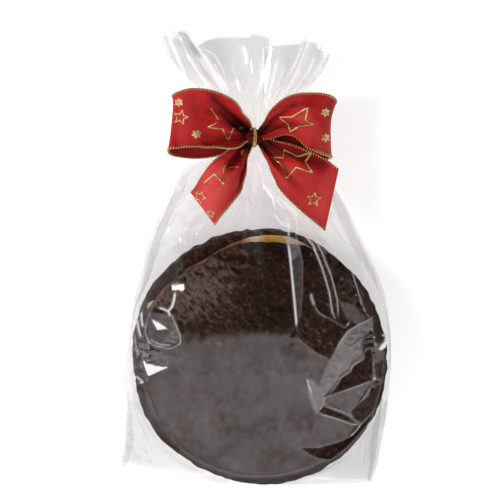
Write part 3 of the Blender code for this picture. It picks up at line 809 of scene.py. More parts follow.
def film_front():
    share, up = np.meshgrid(np.linspace(0, 1, FRONT_COLUMNS), np.linspace(0, 1, BODY_ROWS))
    x, y = ring_place(share, up)
    extra, milk_and_glint, painted_reflection, steep = front_details(x, y)
    points = np.stack([x, y, front_height(x, y)], axis=-1)
    # The film is tight over the biscuit, and crumples round it.
    fine = crumple(points, 0.10 + 0.90 * ease((OUTLINE.at(x, y)[0] - 44) / 14))
    points[..., 2] += (extra + fine) * window(share, 0, 0.015, 1, 0.015) * ease(up / 0.012)
    milk_and_glint += 0.35 * bell(np.minimum(share, 1 - share), 0.006)
    points = gather(points, neck_ring("front", share, y), up)
    looks = {"crease": np.clip(milk_and_glint, 0, 1.3), "painted_reflection": np.clip(painted_reflection, -1, 1), "steep": steep}
    return grid_mesh("film_front", points, dim=layered_corners(x, y), **looks)


def film_side(end, inwards):
    """One side of the bag, from its front fold to its back fold, tucked in between."""
    tuck, up = np.meshgrid(np.linspace(1 - end, end, SIDE_COLUMNS), np.linspace(0, 1, BODY_ROWS // 2))
    edge = np.full(tuck.shape, end)
    x, y = ring_place(edge, up)
    z = front_height(x, y) * (1 - tuck) + back_height(x, y) * tuck
    side = np.stack([x + through(TUCK, y) * np.sin(math.pi * tuck) * inwards, y, z], axis=-1)
    front, back = (neck_ring(panel, edge, y) for panel in ("front", "back"))
    return gather(side, front * (1 - tuck[..., None]) + back * tuck[..., None], up)


def film_back():
    """The back panel, with the bag's two sides."""
    share, up = np.meshgrid(np.linspace(1, 0, BACK_COLUMNS), np.linspace(0, 1, BODY_ROWS // 2))
    x, y = ring_place(share, up)
    z = back_height(x, y)
    points = np.stack([x, y, z], axis=-1)
    loose = ease((OUTLINE.at(x, y)[0] - 50) / 12) * ease(z / 2.0)
    pleats, milk_and_glint = radial_pleats(x * 0.97 + 2.0, y)
    points[..., 2] = np.maximum(z + (pleats * 0.7 + crumple(points + 40, loose)) * loose, 0.0)
    points = gather(points, neck_ring("back", share, points[..., 1]), up)
    right, left = film_side(1.0, -1)[:, :-1], film_side(0.0, 1)[:, 1:]
    points = np.concatenate([right, points, left], axis=1)
    milk_and_glint = np.pad(milk_and_glint * 0.2, ((0, 0), (right.shape[1], left.shape[1])))
    return grid_mesh("film_back", points, crease=milk_and_glint, dim=layered_corners(points[..., 0], points[..., 1]))


def film_bottom():
    """The block bottom: one panel from the front's lower edge to the back's, tucked in a little."""
    share, across = np.meshgrid(np.linspace(0, 1, 160), np.linspace(0, 1, 22))
    x, y = ring_place(share, np.zeros(share.shape))
    top, low = front_height(x, y), back_height(x, y)
    y = y + 2.2 * np.sin(math.pi * across) * np.sin(math.pi * share)
    points = np.stack([x, y, top + (low - top) * across], axis=-1)
    points[..., 1] += crumple(points * 1.3 + 90, 0.6) * np.sin(math.pi * across)
    # The bottom panel's glancing reflection is painted out.
    return grid_mesh("film_bottom", points, crease=np.zeros(share.shape), steep=np.ones(share.shape))


# The frill's top edge, round its front from left to right and back behind: (mark x, mark y, z).
FRILL_EDGE = [
    (162.5, 38, 8), (166, 28.5, 12), (178, 28.5, 14.5), (187, 31, 15.5), (197, 43, 16.5),
    (189, 38.5, 13.2), (199, 44.5, 12.6), (206, 39.5, 13), (219, 36.3, 13.6), (236, 36.2, 14),
    (249, 36.6, 14.4), (252.5, 32, 14.6), (269.5, 36.5, 14.4), (271, 45, 14), (263, 48, 15.8),
    (272.5, 45.5, 17), (285, 44.3, 16.6), (300, 43.5, 15.8), (305.5, 37, 15.5), (309, 37.5, 15),
    (323, 46.5, 13.5), (322, 50, 11), (330, 54, 9.5), (326, 55, 7), (310, 41, 5), (304, 41, 4.4),
    (299, 44.6, 4.2), (285, 45.5, 4), (273, 46.5, 4.6), (270, 38.5, 4.6), (253, 34.5, 4.2),
    (249, 38, 4), (219, 37.8, 3.8), (206, 41, 4.6), (198, 46, 5.2), (186, 33.5, 4.4), (172, 30, 5),
]
# White creases on the frill, milky with a painted glint: (place in FRILL_EDGE, width in mm at the top,
# milkiness, from and to height).
FRILL_CREASES = [
    (2.2, 0.6, 0.4, 0.0, 0.9), (5.0, 0.7, 0.6, 0.0, 0.8), (6.4, 0.7, 0.7, 0.0, 0.85),
    (7.1, 0.5, 0.5, 0.0, 0.7), (8.4, 0.5, 0.4, 0.0, 0.5), (9.6, 0.6, 0.9, 0.62, 0.88),
    (14.0, 1.0, 0.6, 0.0, 1.0), (15.1, 0.5, 0.6, 0.0, 0.6), (15.6, 0.4, 0.4, 0.1, 0.8),
    (16.3, 0.5, 0.4, 0.2, 0.7), (17.2, 0.5, 0.45, 0.1, 0.85), (18.5, 0.5, 0.5, 0.0, 0.9),
    (19.6, 0.6, 0.5, 0.1, 0.8), (20.2, 0.4, 0.8, 0.3, 1.0), (21.2, 0.4, 0.6, 0.2, 1.0),
    (22.0, 0.4, 0.8, 0.1, 1.0),
]
# White strokes painted on the frill's front, milky folds with a painted glint: marks along it, half width in
# marks and milkiness.
FRILL_STROKES = [
    ([(271.5, 45), (268, 60), (262, 79)], 0.9, 1.4),
    ([(264, 74), (256, 95), (252, 114), (250, 130)], 2.0, 1.6),
    ([(167, 31), (174, 50), (190, 85), (214, 112)], 1.3, 1.1),
    ([(163, 38), (172, 62), (186, 88)], 0.9, 0.7),
    ([(187, 31), (197, 46), (212, 68), (233, 100), (247, 124)], 1.6, 1.0),
    ([(186, 52), (200, 74), (224, 104)], 2.6, 0.55),
    ([(199, 56), (213, 76), (238, 110)], 2.8, 0.65),
    ([(200, 47), (215, 55), (222, 68), (226, 84)], 1.0, 0.6),
    ([(243, 46), (246, 56), (247, 62)], 1.5, 0.9),
    ([(230, 60), (238, 84), (246, 112)], 1.2, 0.35),
    ([(326, 55), (314, 78), (296, 100), (262, 130)], 1.2, 0.55),
    ([(331, 58), (322, 74), (306, 92)], 1.0, 0.6),
    ([(305, 38), (297, 60), (282, 85), (260, 120)], 1.5, 0.45),
    ([(297, 74), (289, 88), (280, 98)], 1.6, 0.6),
    ([(284, 62), (274, 90), (258, 122)], 1.2, 0.4),
    ([(309, 38), (323, 46.5)], 1.0, 0.5),
    ([(240, 96), (246, 112), (250, 128)], 4.0, 0.7),
]
FRILL_TOP = 96.0
FRILL_ROWS, FRILL_COLUMNS = 110, 760


def film_frill():
    """Gathered film above the neck: smooth panels that open from the neck, with folds between them."""
    edge = np.array([(*spot(x, y, z), z) for x, y, z in FRILL_EDGE])
    edge = np.concatenate([edge, edge[:1]])
    length = lengths_along(edge)
    at = np.linspace(0, length[-1], FRILL_COLUMNS, endpoint=False)
    top = np.stack([np.interp(at, length, column) for column in edge.T], axis=1)
    place = np.interp(at, length, np.arange(len(edge)))
    around, up = np.meshgrid(at / length[-1], np.linspace(0, 1, FRILL_ROWS))
    start_y = NECK[1] - NECK_HALF_LENGTH
    angle = math.pi - around * 2 * math.pi
    ring = neck_radius(angle)
    low_x, low_z = NECK[0] + ring * np.cos(angle), NECK[2] + ring * np.sin(angle)
    neck_share = 2 * NECK_HALF_LENGTH / (FRILL_TOP - start_y)
    rise = np.clip((up - neck_share) / (1 - neck_share), 0, 1)
    outer = 1 + 0.65 * np.minimum(np.abs(top[:, 0] - NECK[0]) / 30, 1)
    open_x = (1 - (1 - rise) ** outer) * ease(rise / 0.10)
    open_z = 1 - (1 - ease(rise / 0.8)) ** 1.5
    x = low_x + (top[:, 0] - low_x) * open_x
    z = low_z + (top[:, 2] - low_z) * open_z
    points = np.stack([x, start_y + (top[:, 1] - start_y) * up, z], axis=-1)

    streak = noise_grid(1.0, 9, around * 230, up * 2.2)
    wide = noise_grid(1.0, 11, around * 60, up * 2.0)
    near_neck = 1 - ease(rise / 0.65)
    # Places in FRILL_EDGE are counted from its left end, along the front or along the back.
    from_left = np.minimum(place, len(edge) - 1 - place)
    on_left = ease((5.5 - from_left) / 1.5)
    loose = 1 - 0.9 * on_left
    points[..., 2] += (0.30 * streak * near_neck * ease(rise / 0.1) + 0.25 * wide * ease(rise / 0.3)) * loose
    milk_and_glint = np.clip(streak, 0, 1) ** 1.5 * (0.02 + 0.8 * near_neck) * loose
    shown = np.moveaxis(marks_of(points), -1, 0)
    # Milky gathers towards the neck, whitened further as a painted glint.
    milk_and_glint += 1.2 * near_neck**1.7 * (1 - 0.55 * ease((shown[0] - 254) / 8))
    front = ease((points[..., 2] - 7.5) / 2.0)
    for marks, half_width, white in FRILL_STROKES:
        gap, share = line_distance(*shown, marks)
        milk_and_glint += white * bell(gap, half_width) * front * (0.3 + 0.7 * ease(share / 0.1))
    for stop, width, white, first, last in FRILL_CREASES:
        beside = (at - np.interp(stop, np.arange(len(edge)), length)) * (0.25 + 0.75 * rise)
        cover = bell(beside, width) * ease((rise - first) / 0.08) * ease((last + 0.02 - rise) / 0.06)
        milk_and_glint += white * cover
        points[..., 2] += 0.35 * cover
    tangle = bell(place - 11.6, 0.35) * bell(rise - 0.62, 0.07)
    tangled = noise_grid(1.1, 14, *np.moveaxis(points, -1, 0))
    milk_and_glint += 1.2 * tangle * np.clip(tangled, 0, 1) + 0.25 * bell(1 - up, 0.012)
    points[..., 2] = np.maximum(points[..., 2] + 1.2 * tangle * tangled, 1.0)
    grey = 0.7 * on_left * ease((rise - 0.25) / 0.3)
    grey += 0.45 * window(place, 15.5, 1.0, 23, 1.0) * ease((rise - 0.2) / 0.3)
    return grid_mesh("film_frill", points, closed=True, crease=np.clip(milk_and_glint, 0, 1.3), dim=grey)


# ---------------------------------------------------------------- the biscuits


# Rows of a biscuit's section: on its flat side and on its rim. Its domed face starts after them.
FLAT_ROWS, RIM_ROWS = 11, 44
FACE_ROW = FLAT_ROWS + RIM_ROWS
ROUND_RADIUS = 54  # for which the outline's steps are given
# The front biscuit's outline, where it isn't round: direction in degrees and millimetres outwards.
OUTLINE_TURNS, OUTLINE_STEPS = np.array([
    (0, 0), (85, 0), (95, -1.2), (107, -3.6), (121, -4.8), (136, -3.6), (150, -1.5), (160, -0.5),
    (170, -0.5), (180, -0.3), (195, 0.7), (205, 1.0), (220, 1.1), (233, -0.6), (250, -0.6), (262, 0.2),
    (280, 1.0), (292, 1.0), (310, 0.6), (325, 0.5), (360, 0.3),
]).T


def biscuit_profile(thick, reach, rows):
    """(radius, height) from the flat side's middle, out over the rim, to the dome's middle."""
    turn = np.linspace(-0.5 * math.pi, 0.5 * math.pi, RIM_ROWS)
    rim_r = reach - 7.5 + 7.5 * np.cos(turn) ** 0.75
    rim_z = 0.46 * thick + np.where(turn < 0, 0.42, 0.47) * thick * np.sin(turn)
    flat_r = np.linspace(0, rim_r[0], FLAT_ROWS + 1)[:-1]
    top_r = np.linspace(rim_r[-1], 0, rows)[1:]
    top_z = rim_z[-1] + 0.07 * thick * (1 - (top_r / rim_r[-1]) ** 2)
    flat_z = np.full(FLAT_ROWS, rim_z[0])
    return np.concatenate([flat_r, rim_r, top_r]), np.concatenate([flat_z, rim_z, top_z])


def coating(x, y, z, seed, on_face, strokes, centre):
    """How far the chocolate is paler, 0 to 1: drawn out, mottled and bloomed, with painted highlights on its
    ridges.
    """
    drawn = noise_grid(1.35, seed + 4, (x + y) / 1.3, (x - y) / 3.4, z / 2)
    fine = 0.4 * noise_grid(2.4, seed + 5, x, y, z) + 0.7 * noise_grid(0.9, seed + 6, x, y, z)
    fine = fine + 0.7 * drawn
    patch = noise_grid(5.0, seed + 9, x, y, z)
    mottled = noise_grid(2.4, seed + 10, x, y, z) + 0.5 * noise_grid(1.2, seed + 11, x, y, z)
    relief = 0.30 + 0.34 * fine + 0.75 * np.clip(fine - 0.15, 0, 1) * np.clip(0.55 + patch, 0, 1)
    relief = relief + 0.55 * np.clip(mottled - 0.15, 0, 1)
    # The back biscuit's rim is painted paler overall, as a painted highlight.
    if strokes is None:
        relief = 1.25 * relief + 0.06
    else:
        relief = relief * (0.72 + 0.28 * on_face) + 0.55 * strokes
        for mark_x, mark_y, reach, paler in BLOOM_AND_PAINTED_HIGHLIGHT:
            bloom_x, bloom_y = spot(mark_x, mark_y) - centre
            cover = bell(np.hypot(x - bloom_x, y - bloom_y), reach)
            relief = relief + paler * cover * (0.75 + 0.9 * drawn)
    return np.tanh(np.maximum(relief, 0) * 1.05)


def biscuit(name, centre, low, high, front, seed, reach, columns, rows):
    """A round biscuit coated in chocolate. Its flat side has the wafer, and the other is domed."""
    thick = high - low
    radius, height = biscuit_profile(thick, reach, rows)
    r, a = np.meshgrid(radius, np.linspace(0, 2 * math.pi, columns, endpoint=False), indexing="ij")
    z = np.broadcast_to(height[:, None], r.shape)
    wobble = 0.35 * np.sin(2 * a + seed) + 0.3 * np.sin(3 * a + 2.1 * seed) + 0.2 * np.sin(5 * a + seed)
    wobble = wobble + 0.5 * noise_grid(7.0, seed + 7, ROUND_RADIUS * np.cos(a), ROUND_RADIUS * np.sin(a))
    if front:
        wobble = wobble + np.interp(np.degrees(a), OUTLINE_TURNS, OUTLINE_STEPS)
        wobble = wobble - 1.75 * bell(np.degrees(a) - 81, 17, 4)
    r = r * (1 + wobble / ROUND_RADIUS)
    x, y = r * np.cos(a), r * np.sin(a)
    lumps = -0.35
    for step, (scale, size) in enumerate(((10.0, 0.9), (4.6, 1.0), (2.4, 0.65), (1.3, 0.35))):
        lumps = lumps + size * noise_grid(scale, seed + step, x, y, z)
    strokes = spread_strokes(x, y) if front else None
    if front:
        lumps = lumps + strokes
    # Lumps stand out along the surface, less on the side that lies on the wafer.
    row = np.arange(len(radius))[:, None]
    side = np.clip((row - FLAT_ROWS) / RIM_ROWS, 0, 1)
    out, rise = np.cos((side - 0.5) * math.pi), np.sin((side - 0.5) * math.pi)
    outwards = unit(np.stack([np.cos(a) * out, np.sin(a) * out, np.broadcast_to(rise, a.shape)], axis=-1))
    relief = coating(x, y, z, seed, ease((row - FACE_ROW + 9) / 10), strokes, centre)
    points = np.stack([x, y, z], axis=-1) + outwards * (lumps * (0.15 + 0.85 * side))[..., None]
    if not front:
        points[..., 2] = thick - points[..., 2]
    points[..., 2] = np.clip(points[..., 2], 0, thick) + low
    points[..., :2] += centre
    points[..., 2] = np.minimum(points[..., 2], front_height(points[..., 0], points[..., 1]) - 0.3)
    # The rim, which rubbed on the film, is duller than the face.
    gloss = np.broadcast_to(ease((row - FACE_ROW + 3) / 8) if front else 0.5, r.shape)
    return weld(grid_mesh(name, points, closed=True, relief=relief, gloss=gloss))


# Places painted paler on the front biscuit, in part bloom and on its upper-left rim painted highlights (below
# 0, darker): mark x, mark y, reach in millimetres and how much paler.
BLOOM_AND_PAINTED_HIGHLIGHT = [
    (155, 298, 5, 1.5), (161, 287, 4, 1.5), (170, 276, 4, 0.8), (178, 268, 6, 0.4), (178, 300, 5, 0.8),
    (188, 288, 9, 0.7), (202, 276, 12, 1.0), (232, 256, 9, 0.26), (256, 254, 7, 0.20),
    (220, 290, 9, 0.30), (330, 346, 7, 0.30), (355, 300, 6, 0.40), (184, 310, 9, 0.5),
    (165, 345, 8, 0.18), (262, 284, 12, -0.22), (285, 320, 10, -0.14), (338, 296, 5, 0.35),
    (232, 312, 9, 0.16), (308, 346, 6, 0.20),
]


# The strokes' middles, in marks, and their sizes.
STROKES = [
    (196, 276, 13), (206, 270, 15), (216, 272, 15), (224, 282, 14), (190, 292, 12), (236, 262, 16),
    (246, 276, 14),
]


def spread_strokes(x, y):
    """Curved ridges where the coating was drawn off, on the upper left of the front biscuit."""
    total = np.zeros(x.shape)
    turns = np.linspace(math.radians(20), math.radians(120), 6)
    arc = np.stack([np.cos(turns), 0.8 * np.sin(turns)], axis=1) * MARK_MM
    for mark_x, mark_y, size in STROKES:
        d, t = line_distance(x, y, spot(mark_x, mark_y) - BISCUIT_CENTRE + size * arc)
        total += (0.75 * bell(d, 1.0) - 0.25 * bell(d - 2.2, 1.0)) * window(t, 0, 0.25, 1, 0.25)
    return total


# A wafer's section, from the middle out and back: share of its radius and of its thickness.
WAFER_PROFILE = np.array([
    (0.0, 0.0), (0.5, 0.0), (0.96, 0.0), (0.995, 0.12), (1.0, 0.5), (0.995, 0.88), (0.96, 1.0),
    (0.5, 1.0), (0.0, 1.0),
])


def wafer(name, centre, low, high, radius, seed, showing=0.0):
    """A thin baked wafer with a slightly uneven edge, which stands out past the coating by showing."""
    angles = np.linspace(0, 2 * math.pi, 360, endpoint=False)
    degrees = np.degrees(angles)
    edge = radius + 0.25 * np.sin(7 * angles + seed) + 0.2 * np.sin(19 * angles + 2 * seed)
    edge += 0.12 * np.sin(43 * angles) + np.minimum(np.interp(degrees, OUTLINE_TURNS, OUTLINE_STEPS), 0)
    edge += 0.45 * (1.0 + 0.5 * np.sin(9 * angles)) * bell(degrees - 122, 24, 4)
    edge += showing * (bell(degrees - 81, 13, 3) + 1.7 * bell(degrees - 154, 4.0))
    share, level = WAFER_PROFILE.T[:, :, None]
    rings = [
        centre[0] + share * edge * np.cos(angles),
        centre[1] + share * edge * np.sin(angles),
        np.broadcast_to(low + (high - low) * level, (len(share), len(angles))),
    ]
    tone = np.tile(bell(degrees - 84, 5), len(share))
    bare = 0.25 + 0.75 * bell(degrees - 81, 15, 4) + 0.75 * bell(degrees - 153, 4.5, 4)
    points = np.stack(rings, axis=-1)
    return weld(grid_mesh(name, points, closed=True, golden=tone, bare=np.tile(bare, len(share))))


# ---------------------------------------------------------------- the ribbon

RIBBON_WIDTH = 25.0
RIBBON_THICKNESS = 0.36
# Stations of each band: middle x, y, z, the width that it spreads to, depth of its gathers, lean in degrees.
LEFT_LOOP = [
    (-3.6, 55.2, 25.2, 5.8, 0.4, 0), (-6.0, 56.2, 26.8, 9.8, 1.5, 2), (-11.0, 57.6, 31.0, 16.3, 2.0, 4),
    (-17.8, 61.2, 35.0, 22.8, 1.0, 4), (-25.8, 63.1, 36.2, 24.8, 0.2, 2),
    (-33.4, 62.5, 33.6, 24.4, 0, 0), (-37.4, 60.4, 28.6, 23.2, 0, 0), (-35.0, 57.8, 23.8, 23.6, 0, 0),
    (-27.0, 56.6, 21.6, 24.6, 0.2, -2), (-17.5, 55.4, 20.9, 20.6, 0.9, -3),
    (-9.4, 54.8, 21.6, 13.0, 1.2, -2), (-3.8, 54.4, 23.0, 6.2, 0.4, 0),
]
RIGHT_LOOP = [
    (0.6, 55.2, 25.2, 5.6, 0.4, 0), (3.4, 57.0, 27.2, 8.4, 1.2, 3), (8.6, 61.2, 31.2, 13.4, 1.3, 6),
    (14.3, 63.1, 34.6, 18.6, 0.9, 6), (20.0, 62.7, 36.8, 22.0, 0.5, 4),
    (25.2, 60.9, 36.2, 24.6, 0.2, 2), (29.7, 57.5, 32.6, 23.6, 0, 0), (30.7, 55.5, 28.0, 21.6, 0, 0),
    (28.0, 55.2, 23.4, 24, 0, 0), (21.5, 54.8, 21.2, 22.5, 0.6, -2), (12.0, 54.6, 21.4, 16.0, 1.2, -2),
    (5.0, 54.6, 22.2, 10.2, 1.0, 0), (0.6, 54.4, 23.0, 6.0, 0.4, 0),
]
LEFT_TAIL = [
    (-3.7, 52.4, 24.2, 4.2, 0.3, 0), (-7.3, 48.0, 25.6, 7.8, 1.2, -6),
    (-10.6, 42.2, 28.2, 14.0, 1.6, -14), (-15.4, 36.2, 31.8, 18.0, 0.8, -26),
    (-20.2, 30.0, 33.5, 22.0, 0.2, -37), (-24.6, 24.0, 34.2, 24.4, 0, -42),
]
RIGHT_TAIL = [
    (0.5, 52.4, 24.2, 4.2, 0.3, 0), (4.7, 48.8, 26.2, 8.4, 1.2, -4), (9.6, 44.6, 29.6, 15.5, 1.7, -8),
    (16.2, 39.2, 32.2, 21.5, 0.8, -10), (24.0, 33.0, 33.0, 24.8, 0.1, -10),
    (31.2, 27.0, 32.0, 25, 0, -8),
]
LEFT_CUT, RIGHT_CUT = 3.0, 5.5
KNOT = np.array([-1.6, 53.6, 24.4])
KNOT_HALF = np.array([3.4, 4.2, 3.0])
BAND_COLUMNS, ROW_SPACING = 56, 0.5
# Shares of a band's rows: a loop's front, a loop's front with its turn, and the whole band.
LOOP_FRONT, LOOP_TURN, WHOLE = (0.0, 0.47), (0.0, 0.53), (0.0, 1.0)
# Folds on the bands, with painted shade: (band, share of its rows, marks along it, depth, half width in
# marks, how dark the painted shade is, below 0 painted light).
FOLDS = [
    ("left_loop", LOOP_FRONT, [(213, 98), (222, 107), (234, 119), (249, 133)], 1.5, 4.5, 0.95),
    ("left_loop", LOOP_FRONT, [(206, 95), (216, 101), (229, 111)], -0.5, 4.0, -0.1),
    ("left_loop", LOOP_FRONT, [(222, 120), (234, 127), (249, 134)], 0.6, 3.0, 0.45),
    ("left_loop", LOOP_FRONT, [(206, 142), (224, 139), (246, 135)], 0.7, 3.5, 0.16),
    ("left_loop", LOOP_FRONT, [(192, 100), (200, 118), (205, 138)], 0.5, 7.0, 0.22),
    ("left_loop", LOOP_FRONT, [(168, 96), (166, 120), (168, 142)], 0.0, 3.0, 0.15),
    ("left_loop", LOOP_FRONT, [(172, 146), (192, 149), (214, 147)], 0.0, 7.0, 0.25),
    ("right_loop", LOOP_FRONT, [(259, 127), (272, 120), (284, 112), (294, 104)], 0.8, 4.0, 0.55),
    ("right_loop", LOOP_FRONT, [(259, 131), (275, 127), (290, 127)], 0.7, 3.5, 0.55),
    ("right_loop", LOOP_TURN, [(312, 100), (318, 118), (322, 138)], 0.4, 8.0, 0.20),
    ("right_loop", LOOP_TURN, [(331, 104), (331, 130), (330, 152)], 0.0, 5.0, 0.40),
    ("left_tail", WHOLE, [(250, 144), (240, 154), (231, 165)], 1.2, 5.0, 0.80),
    ("left_tail", WHOLE, [(252, 154), (244, 166), (236, 178)], 0.4, 3.0, 0.35),
    ("left_tail", WHOLE, [(226, 158), (214, 172), (200, 186)], 0.3, 3.0, 0.15),
    ("right_tail", WHOLE, [(260, 141), (275, 149), (300, 156), (322, 163)], 0.9, 7.0, 0.85),
    ("right_tail", WHOLE, [(258, 152), (264, 166), (274, 182)], 0.6, 3.0, 0.20),
    ("right_tail", WHOLE, [(272, 160), (284, 176), (300, 192)], 0.3, 5.0, 0.15),
    ("right_tail", WHOLE, [(330, 168), (330, 186), (322, 206)], 0.0, 9.0, -0.30),
    ("left_tail", (0.3, 1.0), [(220, 180), (212, 195), (206, 206)], 0.0, 20.0, -0.85),
    ("left_loop", LOOP_FRONT, [(176, 104), (172, 124), (176, 140)], 0.0, 9.0, -0.15),
    ("right_loop", LOOP_TURN, [(306, 120), (316, 130), (322, 144)], 0.0, 10.0, -0.42),
    ("right_tail", WHOLE, [(290, 176), (306, 192), (318, 212)], 0.0, 20.0, -0.32),
]


class Band:
    """One band of the ribbon: a grid of points, with its painted shade and light and its length."""

    def __init__(self, stations, cut=0.0, phase=0.0):
        table = np.array(stations, float)
        length = lengths_along(table[:, :3])
        at = np.linspace(0, length[-1], int(length[-1] / ROW_SPACING))
        *middle, width, depth, lean = (through(list(zip(length, column)), at) for column in table.T)
        middle = np.stack(middle, axis=1)
        along = unit(np.gradient(middle, axis=0))
        tilt = np.radians(lean)
        upright = np.stack([0 * tilt, np.cos(tilt), np.sin(tilt)], axis=1)
        across = unit(upright - along * (upright * along).sum(axis=1)[:, None])
        share = np.linspace(-1, 1, BAND_COLUMNS + 1)
        turn = 2 * math.pi * (share + 1) + phase
        gathers = depth[:, None] * (np.cos(turn) + 0.25 * np.cos(2.3 * turn + 1.0))
        slant = -share * cut * ease((at / at[-1] - 0.5) / 0.5)[:, None]
        self.points = (
            middle[:, None]
            + across[:, None] * (share[:, None] * width[:, None, None] / 2)
            + np.cross(across, along)[:, None] * gathers[..., None]
            + along[:, None] * slant[..., None]
        )
        self.shade = np.zeros(self.points.shape[:2])
        self.length = at
        self.uv = np.stack(np.meshgrid(at, (share + 1) / 2 * RIBBON_WIDTH, indexing="ij"), axis=-1)
        self.face()

    def face(self):
        self.normal = unit(np.cross(np.gradient(self.points, axis=0), np.gradient(self.points, axis=1)))

    def rows(self, share):
        return slice(int(share[0] * len(self.length)), int(share[1] * len(self.length)))

    def fold(self, share, marks, depth, half_width, dark):
        """Presses a fold in along marks of the front view, and paints its shadow in, or painted light where
        dark is below 0.
        """
        rows = self.rows(share)
        shown = np.moveaxis(marks_of(self.points[rows]), -1, 0)
        gap, done = line_distance(*shown, marks)
        cover = bell(gap, half_width) * ease(1.2 - done * 0.4)
        towards = np.sign(self.normal[rows] @ BACK)
        self.points[rows] -= self.normal[rows] * (towards * depth * cover)[..., None]
        self.shade[rows] += dark * cover
        self.face()


def bow_bands():
    bands = {
        "left_loop": Band(LEFT_LOOP, phase=0.3),
        "right_loop": Band(RIGHT_LOOP, phase=0.3),
        "left_tail": Band(LEFT_TAIL, LEFT_CUT, 2.2),
        "right_tail": Band(RIGHT_TAIL, RIGHT_CUT, 0.6),
    }
    # The left loop's turn slants: its upper corner stands further in than its lower one.
    loop = bands["left_loop"].points
    loop[..., 0] += 2.2 * ease((loop[..., 1] - 58) / 14) * ease((-28 - loop[..., 0]) / 8)
    for name, *fold in FOLDS:
        bands[name].fold(*fold)
    for name, band in bands.items():
        along = band.length / band.length[-1]
        # Painted shade round the knot.
        band.shade += 0.75 * bell(np.linalg.norm(band.points - KNOT, axis=-1), 6.8)
        # Painted shade on the loops' inner halves.
        if name.endswith("loop"):
            inner = ease((along - 0.52) / 0.08) * (0.50 + 0.35 * ease((along - 0.75) / 0.2))
            band.shade += inner[:, None]
    return bands


def ribbon_mesh(bands):
    """The four bands and the gathered middle as one mesh, given its thickness by a modifier."""
    parts = [grid_mesh(name, b.points, uv=b.uv, shade=np.clip(b.shade, -1, 1)) for name, b in bands.items()]
    around = np.linspace(0, 2 * math.pi, 60, endpoint=False)
    angle, along = np.meshgrid(around, np.linspace(-0.96, 0.96, 30))
    size = np.sqrt(1 - along**2) * (1 + 0.13 * np.cos(9 * angle + 1.5 * along))
    half = KNOT_HALF * [1.25, 0.72, 0.62]
    knot = KNOT + half * np.stack([along, size * np.cos(angle), size * np.sin(angle)], axis=-1)
    uv = np.stack([along * 4, angle * 4], axis=-1)
    # The knot is painted in shade.
    parts.append(grid_mesh("knot", knot, closed=True, uv=uv, shade=np.full(angle.shape, 0.86)))
    bpy.ops.object.select_all(action="DESELECT")
    for part in parts:
        part.select_set(True)
    bpy.context.view_layer.objects.active = parts[0]
    bpy.ops.object.join()
    ribbon = parts[0]
    ribbon.name = ribbon.data.name = "bow_ribbon"
    return thicken(ribbon, RIBBON_THICKNESS)


def edge_lines(bands):
    """The two edges of each band, with the direction into the band and the normal at each point."""
    for band in bands.values():
        for column, inner in ((0, 1), (BAND_COLUMNS, BAND_COLUMNS - 1)):
            line = band.points[:, column]
            yield line, unit(band.points[:, inner] - line), band.normal[:, column]


STITCH = 1.15


def stitched_edges(bands):
    """A wired hem with gold thread wrapped round it, along both edges of the ribbon."""
    hem, thread = Tubes(), Tubes()
    for line, inwards, normal in edge_lines(bands):
        hem.add(line[::2] + inwards[::2] * 0.25, 0.29)
        length = lengths_along(line)

        def at(place, values):
            return np.array([np.interp(place, length, column) for column in values.T])

        count = int(length[-1] / STITCH)
        for k in range(count):
            place = (k + 0.5) / count * length[-1]
            middle = at(place, line)
            ahead = at(place + 0.4, line) - middle
            ahead = ahead / max(np.linalg.norm(ahead), 1e-6)
            into, up = unit(at(place, inwards)), unit(at(place, normal))
            wrap = []
            for turn in np.linspace(-2.3, 2.3, 7):
                reach = 0.28 - 0.48 * math.cos(turn) + (0.2 if abs(turn) > 2 else 0)
                wrap.append(middle + into * reach + up * 0.44 * math.sin(turn) + ahead * 0.20 * turn)
            thread.add(wrap, 0.21, sides=5)
    return hem.make("ribbon_hem"), thread.make("hem_thread")


# Foil on the ribbon: (band, share of its rows, closed, half width, marks along it).
FOIL_LINES = [
    ("left_loop", (0.0, 0.46), False, 0.36, [(210.5, 108), (218, 119)]),
    ("left_loop", (0.0, 0.46), False, 0.36, [(207.5, 127), (222.5, 128.5), (228, 141),
     (232.5, 128.5), (243.5, 128)]),
    ("left_loop", (0.0, 0.46), False, 0.30, [(207.5, 127), (216, 122.5)]),
    ("right_loop", (0.0, 0.46), True, 0.36, [(279, 117), (292, 116.5), (307.5, 107), (305.5, 119.5),
     (312.5, 124), (299, 126), (290, 131.5), (288.5, 124.5)]),
    ("left_tail", (0.05, 1.0), False, 0.38, [(204, 183), (214.5, 173.5), (224, 184), (223, 168.5),
     (238, 166.5)]),
    ("left_tail", (0.05, 1.0), False, 0.30, [(223, 168.5), (227, 162)]),
    ("right_tail", (0.05, 1.0), True, 0.36, [(270.5, 157), (281, 163.5), (286, 178), (296, 167),
     (312, 172), (305, 161.5), (311.5, 152), (297.5, 156.5), (284, 150), (283.5, 157.5)]),
]
# Small stars: (band, share of its rows, middle mark, radius in marks, turn in degrees, open or solid).
FOIL_STARS = [
    ("left_loop", (0.0, 0.46), (181, 117), 7.6, 75, "open"),
    ("left_loop", (0.0, 0.46), (179, 102), 5.0, 30, "solid"),
    ("left_loop", (0.0, 0.46), (196.5, 133.5), 5.2, 15, "solid"),
    ("right_loop", (0.0, 0.50), (325, 112), 4.8, 20, "solid"),
    ("right_loop", (0.0, 0.50), (325, 137.5), 4.8, 30, "solid"),
    ("left_tail", (0.1, 1.0), (200.5, 197), 6.6, 62, "open"),
    ("left_tail", (0.1, 1.0), (211, 213.5), 4.4, 80, "open"),
    ("left_tail", (0.0, 1.0), (243, 152), 3.4, 12, "solid"),
    ("right_tail", (0.1, 1.0), (313.5, 199), 7.2, 82, "open"),
]
FOIL_LIFT = 0.10


